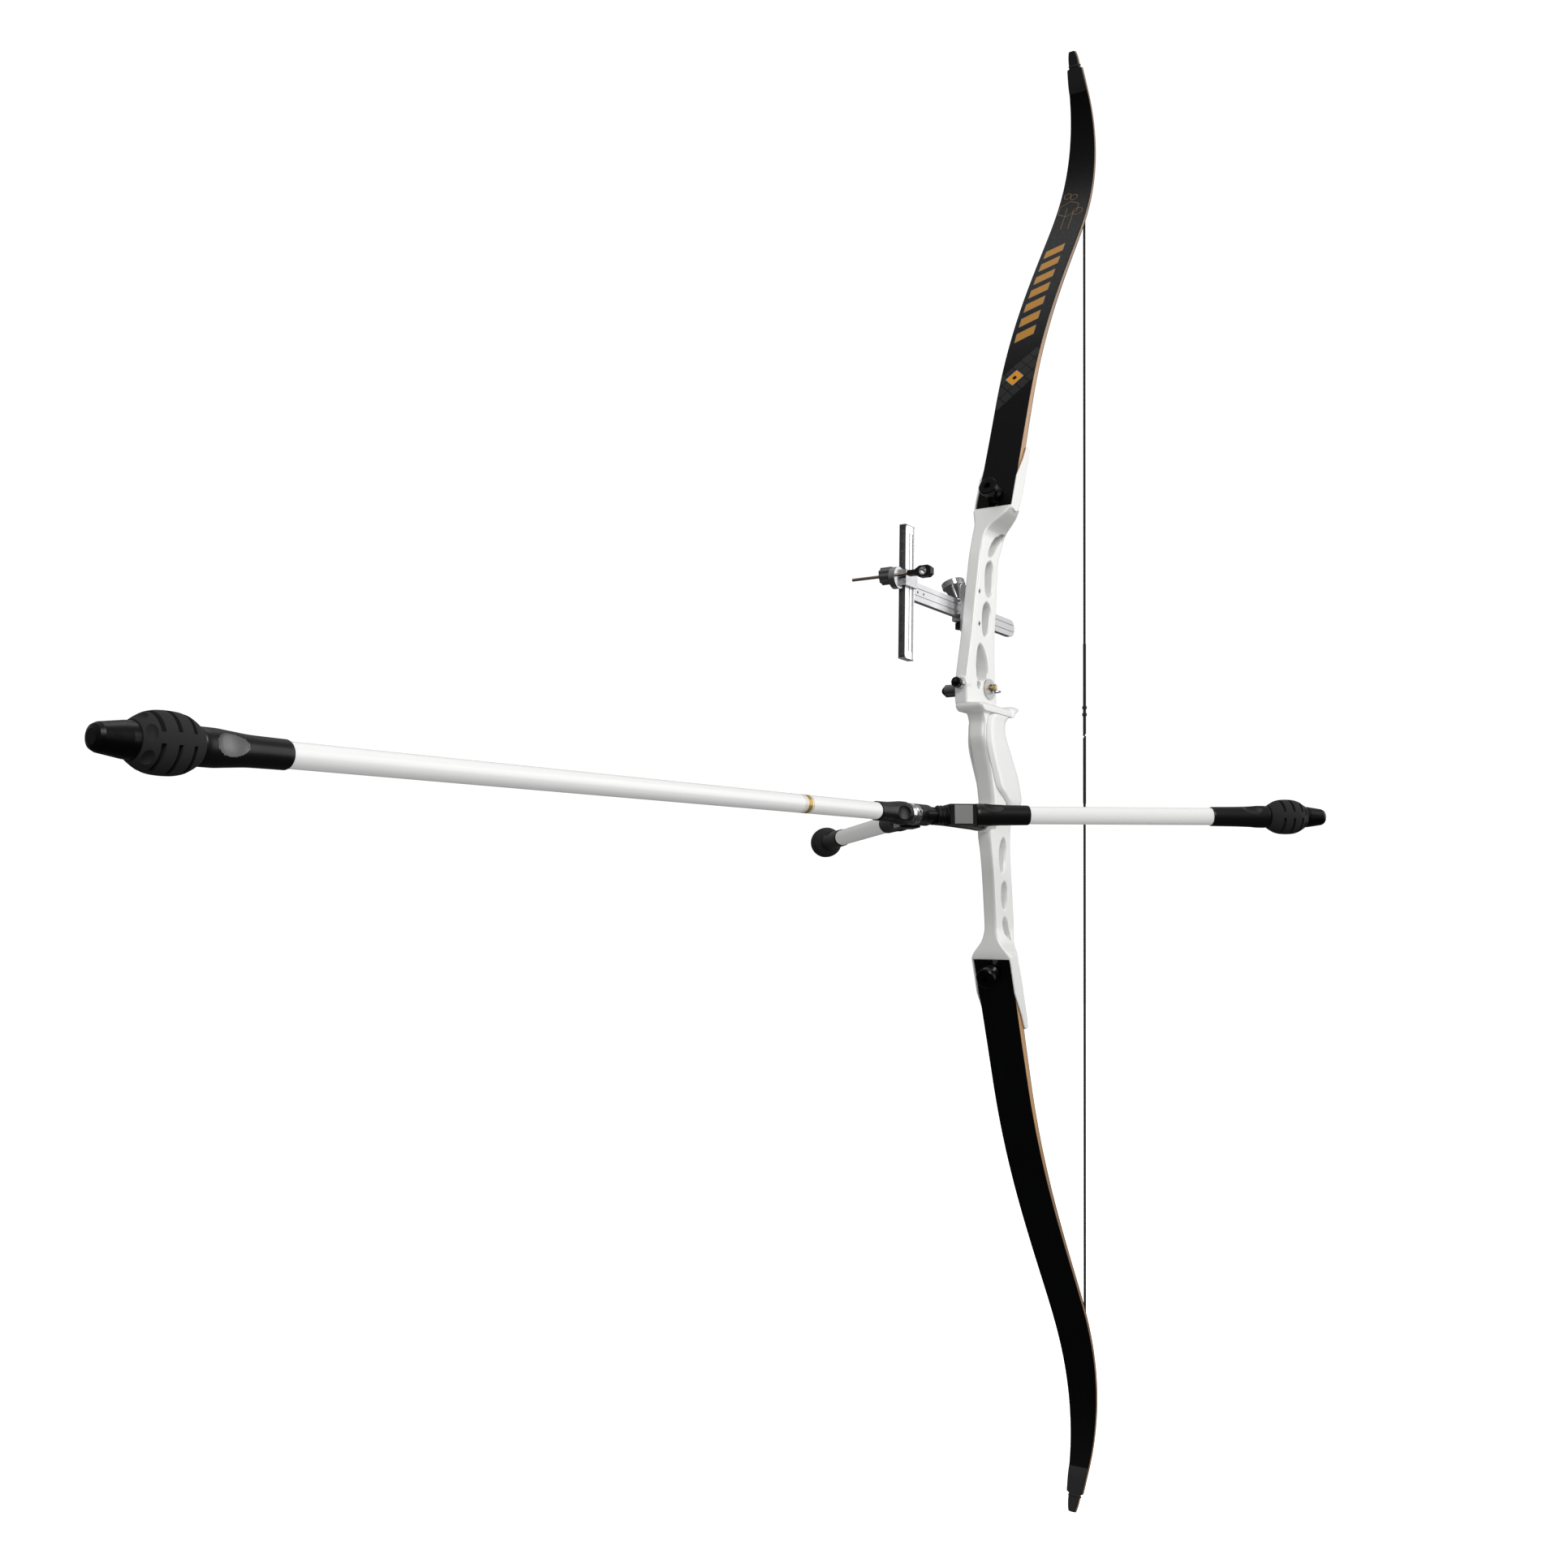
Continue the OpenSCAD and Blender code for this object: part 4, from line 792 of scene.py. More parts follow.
# Painted reflection: paler grey for the lit oval flats of the long rod's rear ferrule.
OVAL_PAINTED_HIGHLIGHT = Coat("oval_grey", "black_anodised", colour=(0.13, 0.13, 0.13), tint=(0.16, 0.16, 0.16),
    gloss=(0.3, 0.45), grain=2600, metal=0.3)
TICK = Coat("scale_tick", "light_alloy", colour=(0.22, 0.22, 0.22), tint=(0.16, 0.16, 0.16),
    gloss=(0.4, 0.5))
RED = Coat("bead_red", "chrome", colour=(0.45, 0.01, 0.015), tint=(0.35, 0.01, 0.01), gloss=(0.15, 0.25))
CARRIAGE_ALLOY = Coat("carriage_alloy", "light_alloy", colour=(0.5, 0.5, 0.51), tint=(0.42, 0.42, 0.43),
    gloss=(0.16, 0.28), metal=1.0, grain=900, depth=0.004, mottle=120)
NOCK_THREAD = Thread("nocking_thread", "nock_brass", strand=0.6, lean=0.2, colour=(0.012, 0.011, 0.01))
REST_CHROME = Turned("rest_chrome", "chrome", colour=(0.75, 0.75, 0.76), axis=(0.0, 0.0, 1.0),
    gloss=(0.08, 0.16))
PLUG_BLACK = Turned("plug_black", "steel", colour=(0.03, 0.03, 0.031), dark=(0.015, 0.015, 0.015),
    gloss=(0.14, 0.24))
BARREL_GREY = Turned("barrel_grey", "grey_alloy", colour=(0.24, 0.24, 0.25), dark=(0.13, 0.13, 0.135),
    axis=(0.0, 1.0, 0.0), pitch=0.8, depth=0.05, gloss=(0.3, 0.42))
DARK_SCALE = Drawn("dark_scale", "grey_alloy", colour=(0.1, 0.1, 0.1), dark=(0.06, 0.06, 0.06),
    gloss=(0.35, 0.5), stretch=(900.0, 900.0, 30.0), metal=0.7)


# ---------------------------------------------------------------- mesh work


def steady(rows: Sequence[Row], at: Sequence[float]) -> list[list[float]]:
    """Smooth curve through rows of numbers that never overshoots between them.

    Args:
        rows: rows whose first number is the station.
        at: stations to read.

    Returns:
        One row for each station.
    """
    xs = [row[0] for row in rows]
    result = [[x] for x in at]
    for column in range(1, len(rows[0])):
        ys = [row[column] for row in rows]
        steps = [(ys[i + 1] - ys[i]) / (xs[i + 1] - xs[i]) for i in range(len(xs) - 1)]
        slopes = [steps[0]]
        for i in range(1, len(steps)):
            a, b = steps[i - 1], steps[i]
            slopes.append(0.0 if a * b <= 0 else 2 * a * b / (a + b))
        slopes.append(steps[-1])
        for out, x in zip(result, at):
            last = len(xs) - 2
            i = next((k for k in range(last + 1) if x <= xs[k + 1]), last)
            h = xs[i + 1] - xs[i]
            t = min(1.0, max(0.0, (x - xs[i]) / h))
            out.append(
                ys[i] * (1 + 2 * t) * (1 - t) ** 2
                + slopes[i] * h * t * (1 - t) ** 2
                + ys[i + 1] * t * t * (3 - 2 * t)
                + slopes[i + 1] * h * t * t * (t - 1)
            )
    return result


def levels(rows: Sequence[Row], step: float) -> list[float]:
    """Even heights from the first row to the last, and the rows' own heights.

    Args:
        rows: rows whose first number is the height.
        step: distance between the heights.

    Returns:
        The heights, in order.
    """
    low, high = rows[0][0], rows[-1][0]
    even = {round(low + step * i, 3) for i in range(int((high - low) / step))}
    return sorted(even | {row[0] for row in rows})


def solid(name: str, points: Iterable[Row], faces: Iterable[Sequence[int]],
          chart: Optional[Chart] = None) -> Piece:
    """New mesh object from points in millimetres.

    Args:
        name: name of the piece.
        points: corner points.
        faces: faces as lists of point numbers.
        chart: surface coordinates of each point, where the finish needs them.

    Returns:
        The object, linked to the scene.
    """
    mesh = bpy.data.meshes.new(name)
    mesh.from_pydata([tuple(c * MM for c in p) for p in points], [], [tuple(f) for f in faces])
    if chart is not None:
        layer = mesh.uv_layers.new(name=CHART)
        for loop in mesh.loops:
            layer.data[loop.index].uv = chart(loop.vertex_index)
    mesh.update()
    piece = bpy.data.objects.new(name, mesh)
    bpy.context.scene.collection.objects.link(piece)
    return piece


def loft(name: str, rings: Sequence[Sequence[Row]],
         chart: Optional[Chart] = None, closed: bool = False) -> Piece:
    """Skin over rings of the same number of points.

    Args:
        name: name of the piece.
        rings: rings of points in millimetres.
        chart: surface coordinates of each point, where the finish needs them.
        closed: whether the last ring joins the first.

    Returns:
        The object.
    """
    n, m = len(rings[0]), len(rings)
    points = [p for ring in rings for p in ring]
    last = m if closed else m - 1
    faces = [
        (i * n + j, i * n + (j + 1) % n, (i + 1) % m * n + (j + 1) % n, (i + 1) % m * n + j)
        for i in range(last)
        for j in range(n)
    ]
    if not closed:
        faces += [tuple(reversed(range(n))), tuple((m - 1) * n + j for j in range(n))]
    piece = solid(name, points, faces, chart)
    outward(piece)
    return piece


def outward(piece: Piece) -> None:
    """Turns all faces outward.

    Args:
        piece: closed mesh.
    """
    mesh = bmesh.new()
    mesh.from_mesh(piece.data)
    bmesh.ops.recalc_face_normals(mesh, faces=mesh.faces)
    mesh.to_mesh(piece.data)
    mesh.free()


def soften(piece: Piece, angle: float) -> None:
    """Smooth shading, with edges sharper than the angle kept.

    Args:
        piece: mesh to shade.
        angle: smallest angle of a kept edge, in degrees.
    """
    mesh = bmesh.new()
    mesh.from_mesh(piece.data)
    limit = math.radians(angle)
    for face in mesh.faces:
        face.smooth = True
    for edge in mesh.edges:
        if len(edge.link_faces) == 2:
            edge.smooth = edge.calc_face_angle(0.0) < limit
    mesh.to_mesh(piece.data)
    mesh.free()


def settle(piece: Piece) -> None:
    """Applies the piece's modifiers.

    Args:
        piece: object with modifiers.
    """
    graph = bpy.context.evaluated_depsgraph_get()
    final = bpy.data.meshes.new_from_object(piece.evaluated_get(graph))
    piece.modifiers.clear()
    old = piece.data
    piece.data = final
    bpy.data.meshes.remove(old)


def drop(piece: Piece) -> None:
    """Deletes a helper object."""
    bpy.data.objects.remove(piece, do_unlink=True)


class Cut(Enum):
    """What a tool does to a piece."""

    AWAY = "DIFFERENCE"
    ADD = "UNION"


def machine(piece: Piece, tools: Iterable[Piece], kind: Cut = Cut.AWAY) -> None:
    """Cuts tools out of a piece or adds them to it, and deletes the tools.

    Args:
        piece: closed mesh.
        tools: closed meshes.
        kind: what the tools do.
    """
    for tool in tools:
        step = piece.modifiers.new("step", "BOOLEAN")
        step.operation = kind.value
        step.solver = "EXACT"
        step.object = tool
        settle(piece)
        drop(tool)


def cast(piece: Piece, grain: float, rounds: int, keep: float = 1.0) -> None:
    """Turns a piece into an even skin and rounds its edges a little.

    Args:
        piece: closed mesh.
        grain: size of the even faces, in millimetres.
        rounds: how often the skin is relaxed.
        keep: share of the faces that stay.
    """
    remesh = piece.modifiers.new("even", "REMESH")
    remesh.mode = "VOXEL"
    remesh.voxel_size = grain * MM
    relax = piece.modifiers.new("relax", "SMOOTH")
    relax.factor = 0.5
    relax.iterations = rounds
    if keep < 1.0:
        thin = piece.modifiers.new("thin", "DECIMATE")
        thin.ratio = keep
    settle(piece)


def prism(name: str, outline: Sequence[Row], near: float, far: float,
          at: Optional[Callable[[Row], Row]] = None,
          shrink: Optional[Sequence[Row]] = None) -> Piece:
    """Plate drawn in X and Z, between two side offsets, tapered where a second outline is given.

    Args:
        name: name of the piece.
        outline: points of (x, z) at the near face.
        near: side offset of the near face.
        far: side offset of the far face.
        at: where a drawn point goes, if not straight into the frame.
        shrink: outline at the far face, if it differs.

    Returns:
        The object.
    """
    place = at or (lambda p: p)
    first = [place((x, near, z)) for x, z in outline]
    second = [place((x, far, z)) for x, z in (shrink or outline)]
    return loft(name, [first, second])


def turned(name: str, profile: Sequence[Row], at: Matrix, sides: int = 72) -> Piece:
    """Solid turned about local X from points of (radius, x); the ends may lie on the axis.

    Args:
        name: name of the piece.
        profile: points of (radius, x).
        at: its place.
        sides: number of faces round it.

    Returns:
        The object.
    """
    points: list[Vector] = []
    rows: list[list[int]] = []
    for radius, x in profile:
        if radius < 1e-6:
            rows.append([len(points)])
            points.append(Vector((x, 0, 0)))
            continue
        rows.append(list(range(len(points), len(points) + sides)))
        points += [
            Vector((x, radius * math.cos(a), radius * math.sin(a)))
            for a in (2 * math.pi * k / sides for k in range(sides))
        ]
    faces: list[tuple[int, ...]] = []
    closed = len(rows[0]) > 1 and len(rows[-1]) > 1
    pairs = list(zip(rows, rows[1:])) + ([(rows[-1], rows[0])] if closed else [])
    for a, b in pairs:
        for k in range(sides):
            n = (k + 1) % sides
            if len(a) == 1 and len(b) > 1:
                faces.append((a[0], b[k], b[n]))
            elif len(b) == 1 and len(a) > 1:
                faces.append((a[k], a[n], b[0]))
            elif len(a) > 1:
                faces.append((a[k], a[n], b[n], b[k]))
    piece = solid(name, [at @ p for p in points], faces)
    outward(piece)
    return piece


def rod(name: str, radius: float, start: Row, end: Row, sides: int = 40) -> Piece:
    """Round tool between two points.

    Args:
        name: name of the piece.
        radius: its radius.
        start: middle of its first end.
        end: middle of its other end.
        sides: number of faces round it.

    Returns:
        The object.
    """
    a, b = Vector(start), Vector(end)
    frame_at = Matrix.Translation(a) @ (b - a).to_track_quat("X", "Z").to_matrix().to_4x4()
    length = (b - a).length
    return turned(name, [(0, 0), (radius, 0), (radius, length), (0, length)], frame_at, sides)


def merged(name: str, pieces: Sequence[Piece]) -> Piece:
    """One object from several, whose own objects are deleted.

    Args:
        name: name of the object.
        pieces: objects to put together.

    Returns:
        The object.
    """
    mesh = bmesh.new()
    for piece in pieces:
        mesh.from_mesh(piece.data)
        drop(piece)
    whole = bpy.data.meshes.new(name)
    mesh.to_mesh(whole)
    mesh.free()
    result = bpy.data.objects.new(name, whole)
    bpy.context.scene.collection.objects.link(result)
    return result


def fitted(piece: Piece, finish: Finish, body: Optional[str], *nodes: str,
           smooth: Optional[float] = None) -> Piece:
    """Finishes a piece, lets it ride on its body and stand for its solids.

    Args:
        piece: the finished mesh.
        finish: its surface.
        body: the body it rides on, or None to leave it on none.
        nodes: solids that it stands for.
        smooth: smallest angle of an edge that stays sharp, or None for flat faces.

    Returns:
        The piece.
    """
    if smooth is not None:
        soften(piece, smooth)
    piece.data.materials.clear()
    piece.data.materials.append(finish.material())
    if body is not None:
        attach(piece, body)
    if nodes:
        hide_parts(*nodes)
    LOG.info("piece %s, %d faces", piece.name, len(piece.data.polygons))
    return piece


def dress(finish: Finish, *nodes: str) -> None:
    """Gives solids that stay a better finish.

    Args:
        finish: the new surface.
        nodes: names of the solids.
    """
    for node in nodes:
        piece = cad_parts[node]
        if not piece.material_slots:
            piece.data.materials.append(finish.material())
        for slot in piece.material_slots:
            slot.material = finish.material()


# ---------------------------------------------------------------- limbs and string


def ramp(value: float, low: float, high: float) -> float:
    """0 below the low limit, 1 above the high one, straight between."""
    return min(1.0, max(0.0, (value - low) / (high - low)))


@dataclass
class Limb:
    """One limb: a curved core between two black skins, with a tip overlay over its nose."""

    name: str
    side: int
    body: str
    skin: Finish
    butt_from_middle: float = 232.4
    middle_drop: float = 11.0
    back_x: float = -12.0
    lean: float = 19.4
    length: float = 649.0
    nose_len: float = 18.0
    hinge: float = 112.0
    hinge_deep: float = 6.0
    bend_half: float = 34.0
    bolt_u: float = 12.0
    stud_u: float = 40.0
    butt_w: float = 39.5
    width: float = 38.5
    tip_w: float = 17.0
    nose_w: float = 11.5
    butt_t: float = 13.0
    tip_t: float = 5.2
    skin_t: float = 1.3
    overlay_t: float = 1.8
    belly_bend: float = 15.2
    belly_start: float = 18.0
    belly_end: float = 277.0
    recurve_bend: float = 58.4
    recurve_start: float = 268.0
    recurve_end: float = 49.0
    path: list[tuple[float, float]] = field(default_factory=list)

    def __post_init__(self) -> None:
        """Works out the curve of the back in steps of a millimetre."""
        x, z = 0.0, 0.0
        self.path.append((x, z))
        for i in range(int(self.length) + 1):
            turn = math.radians(self.bend(i + 0.5))
            x, z = x + math.sin(turn), z + math.cos(turn)
            self.path.append((x, z))

    @property
    def groove(self) -> float:
        """Station of the string groove."""
        return self.length - self.nose_len

    @property
    def shoulder(self) -> float:
        """Station where the blade ends."""
        return self.groove - 1.6

    def bend(self, s: float) -> float:
        """Bend of the back at a station, in degrees.

        Args:
            s: station along the back.

        Returns:
            The bend, towards the belly where positive.
        """
        rise = ramp(s, self.hinge + self.belly_start, self.length - self.belly_end)
        curl = ramp(s, self.length - self.recurve_start, self.length - self.recurve_end)
        return self.belly_bend * math.sin(math.pi / 2 * rise) - self.recurve_bend * curl ** 2

    def thickness(self, s: float) -> float:
        """Thickness at a station."""
        return self.tip_t + (self.butt_t - self.tip_t) * (1 - min(1.0, s / self.length)) ** 2.5

    def breadth(self, s: float) -> float:
        """Width at a station.

        Args:
            s: station along the back.

        Returns:
            The width.
        """
        if s > self.shoulder:
            u = ramp(s, self.groove, self.length)
            return self.nose_w * math.sqrt(1 - 0.72 * u * u)
        u = ramp(s, self.length - self.recurve_start, self.length)
        blade = self.width + (self.butt_w - self.width) * (1 - ramp(s, 0, 90))
        return blade - (self.width - self.tip_w + 4) * u ** 2.3

    def at(self, s: float, deep: float, y: float = 0.0) -> Vector:
        """Point in the row's frame, in millimetres.

        Args:
            s: station along the back.
            deep: depth below the back.
            y: side offset.

        Returns:
            The point.
        """
        i = min(len(self.path) - 2, int(s))
        r = s - i
        turn = math.radians(self.bend(s))
        x = self.path[i][0] * (1 - r) + self.path[i + 1][0] * r + deep * math.cos(turn)
        z = self.path[i][1] * (1 - r) + self.path[i + 1][1] * r - deep * math.sin(turn)
        return self.from_butt((x, y, z))

    def from_butt(self, p: Row) -> Vector:
        """Moves a point from the butt's frame to the row's.

        Args:
            p: depth, side offset and distance along the butt.

        Returns:
            The point.
        """
        a = math.radians(self.lean)
        x = self.back_x + p[0] * math.cos(a) + p[2] * math.sin(a)
        z = self.butt_from_middle - p[0] * math.sin(a) + p[2] * math.cos(a)
        return Vector((x, p[1], self.side * z - self.middle_drop))

    def stations(self, start: float, step: float = 5.0) -> list[float]:
        """Stations from a start to the nose, with both sides of the shoulder.

        Args:
            start: first station.
            step: largest step on the blade.

        Returns:
            The stations, in order.
        """
        count = max(2, int((self.shoulder - start) / step))
        blade = [start + (self.shoulder - start) * i / count for i in range(count + 1)]
        nose = [self.groove + self.nose_len * (1 - (1 - i / 7) ** 1.6) for i in range(8)]
        return blade + nose

    def layer(self, name: str, stations: Sequence[float], top: Callable[[float], float],
              bottom: Callable[[float], float], bevels: tuple[float, float], by_depth: bool) -> Piece:
        """Strip of the limb between two depths, with small bevels at its outer edges.

        Args:
            name: name of the piece.
            stations: stations of its rings.
            top: depth of its upper face.
            bottom: depth of its lower face.
            bevels: bevel at the upper and lower edges.
            by_depth: whether the chart counts depth across, rather than side offset.

        Returns:
            The piece.
        """
        rings, charts = [], []
        for s in stations:
            w, a, b = self.breadth(s) / 2, top(s), bottom(s)
            end = 1.0 if s < self.length - 0.5 else 0.86
            w *= end
            ca, cb = bevels
            section = [(a, -w + ca), (a + ca, -w), (b - cb, -w), (b, -w + cb),
                       (b, w - cb), (b - cb, w), (a + ca, w), (a, w - ca)]
            rings.append([self.at(s, deep, y) for deep, y in section])
            charts += [((deep if by_depth else y) * MM, s * MM) for deep, y in section]
        return loft(name, rings, lambda i: charts[i])

    def slot_tool(self) -> Piece:
        """Tool for the open slot that the limb bolt passes through.

        Returns:
            The tool.
        """
        half = 6.2
        turns = [math.radians(a) for a in range(0, 181, 12)]
        arch = [(-half * math.cos(a), self.bolt_u + half * math.sin(a)) for a in turns]
        outline = [(-half, -6.0), *arch, (half, -6.0)]
        rings = [[self.from_butt((deep, y, u)) for y, u in outline] for deep in (-6.0, 22.0)]
        return loft("slot_tool", rings)

    def bent(self, piece: Piece, finish: Finish, *nodes: str) -> None:
        """Finishes a layer that runs from the riser into the limb, and leaves it on no body.

        Args:
            piece: the layer.
            finish: its surface.
            nodes: solids that it stands for.
        """
        machine(piece, [self.slot_tool()])
        fitted(piece, finish, None, *nodes, smooth=40)
        low = self.at(self.hinge - self.bend_half, self.hinge_deep)
        high = self.at(self.hinge + self.bend_half, self.hinge_deep)
        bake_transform(piece)

    def build(self) -> None:
        """Makes the core, both skins and the tip overlay."""
        stations = [0.0, 3.0] + self.stations(6.0)
        self.bent(
            self.layer(f"{self.name}_core_layers", stations, lambda s: self.skin_t,
                       lambda s: self.thickness(s) - self.skin_t, (0.0, 0.0), True),
            LIMB_CORE, f"{self.name}_butt", f"{self.name}_core")
        self.bent(
            self.layer(f"{self.name}_face_skin", stations, lambda s: 0.0, lambda s: self.skin_t,
                       (0.35, 0.0), False),
            self.skin, f"{self.name}_back")
        self.bent(
            self.layer(f"{self.name}_belly_skin", stations, lambda s: self.thickness(s) - self.skin_t,
                       self.thickness, (0.0, 0.35), False),
            SKIN_PLAIN, f"{self.name}_belly")
        start = self.shoulder - 25.9
        tip = self.layer(
            f"{self.name}_tip_cap", self.stations(start, 2.5),
            lambda s: -0.25 - (self.overlay_t - 0.25) * math.sin(math.pi / 2 * ramp(s, start, start + 13)),
            lambda s: -0.02, (0.12, 0.0), False)
        fitted(tip, TIP_BLACK, self.body, self.name.replace("limb", "tip_overlay"), smooth=40)
        self.loop()

    def loop(self) -> None:
        """Served loop of the string, drawn tight into the groove behind the nose."""
        s = self.groove + 1.0
        cord, lift, forward = 0.95, 0.45, 0.9
        half, depth = self.breadth(s) / 2 - 0.2, self.thickness(s)
        low, high = -0.35 - self.overlay_t, depth + 0.9
        middle = (low + high) / 2
        tall = (high - low) / 2
        rings = []
        for i in range(48):
            a = 2 * math.pi * i / 48
            c, d = math.cos(a), math.sin(a)
            y = half * math.copysign(abs(c) ** 0.45, c)
            deep = middle + tall * math.copysign(abs(d) ** 0.6, d)
            ring = []
            for k in range(12):
                b = 2 * math.pi * k / 12
                out = lift + cord * math.cos(b)
                ring.append(self.at(s + cord * math.sin(b) + forward, deep + out * d, y + out * c))
            rings.append(ring)
        piece = loft(f"{self.name}_loop_serving", rings, closed=True)
        fitted(piece, SERVING, self.body, f"{self.side_word}_string_loop", smooth=60)

    @property
    def side_word(self) -> str:
        """Upper or lower."""
        return "upper" if self.side > 0 else "lower"


@dataclass
class StringHalf:
    """Half of the bowstring, laid up from twisted strands; served as (upper, lower) lengths."""

    name: str
    limb: Limb
    diameter: float = 2.5
    strands: int = 6
    turn: float = 13.0
    split: float = 10.0
    gap: float = 0.125
    lap: float = 2.1
    served_d: float = 3.5
    served: tuple[float, float] = (106.5, 77.5)
    line_x: float = 225.399
    leave: float = 549.57

    def route(self) -> list[Vector]:
        """Points of the string from its loop down to the split.

        Returns:
            The points.
        """
        clear = self.diameter / 2 + 0.25
        start = self.limb.groove + 0.05
        points = [
            self.limb.at(s, self.limb.thickness(s) + clear)
            for s in (start + (self.leave - start) * i / 60 for i in range(61))
        ]
        for p in points:
            p.x = min(p.x, self.line_x)
        end = self.split + self.limb.side * self.gap
        top = points[-1].z
        count = int(abs(top - end) / 1.3)
        points += [Vector((self.line_x, 0, top + (end - top) * i / count)) for i in range(1, count + 1)]
        return points

    def build(self) -> None:
        """Makes the strands as one lobed, twisted tube, with the serving wound over the middle."""
        route = self.route()
        rings = []
        run = 0.0
        for i, p in enumerate(route):
            before, after = route[max(0, i - 1)], route[min(len(route) - 1, i + 1)]
            way = (after - before).normalized()
            out = way.cross(Vector((0, 1, 0))).normalized()
            run += (p - before).length
            ring = []
            for k in range(18):
                a = 2 * math.pi * k / 18
                lobe = abs(math.cos(self.strands / 2 * (a - 2 * math.pi * run / self.turn)))
                r = self.diameter / 2 * (0.98 + 0.16 * lobe)
                ring.append(p + r * (math.cos(a) * Vector((0, 1, 0)) + math.sin(a) * out))
            rings.append(ring)
        piece = loft(f"{self.name}_strands", rings)
        self.halve(piece)
        fitted(piece, STRING, self.name, self.name, smooth=50)
        self.serving()

    def halve(self, piece: Piece) -> None:
        """Halves the end next to the split, so that the two string halves fold past each other.

        Args:
            piece: strands or serving.
        """
        side = self.limb.side
        for point in piece.data.vertices:
            if abs(point.co.z / MM - self.split) < self.lap:
                point.co.y = side * max(side * point.co.y, 0.05 * MM)

    def serving(self) -> None:
        """Winds the serving over the string from the split outward, with a short run-out at its end."""
        r, side = self.served_d / 2, self.limb.side
        length = self.served[0 if side > 0 else 1]
        profile = [(0, 0), (r - 0.1, 0), (r, 0.1), (r, self.lap - 0.2), (r, self.lap), (r, length - 1.4),
                   (r - 0.25, length - 0.4), (self.diameter / 2, length), (0, length)]
        at = shift(self.line_x, 0, self.split + side * self.gap) @ turn("Y", -90 * side)
        piece = turned(self.name.replace("string", "serving") + "_thread", profile, at, 40)
        self.halve(piece)
        fitted(piece, SERVING, self.name, self.name.replace("string", "serving"), smooth=40)


# ---------------------------------------------------------------- riser and grip


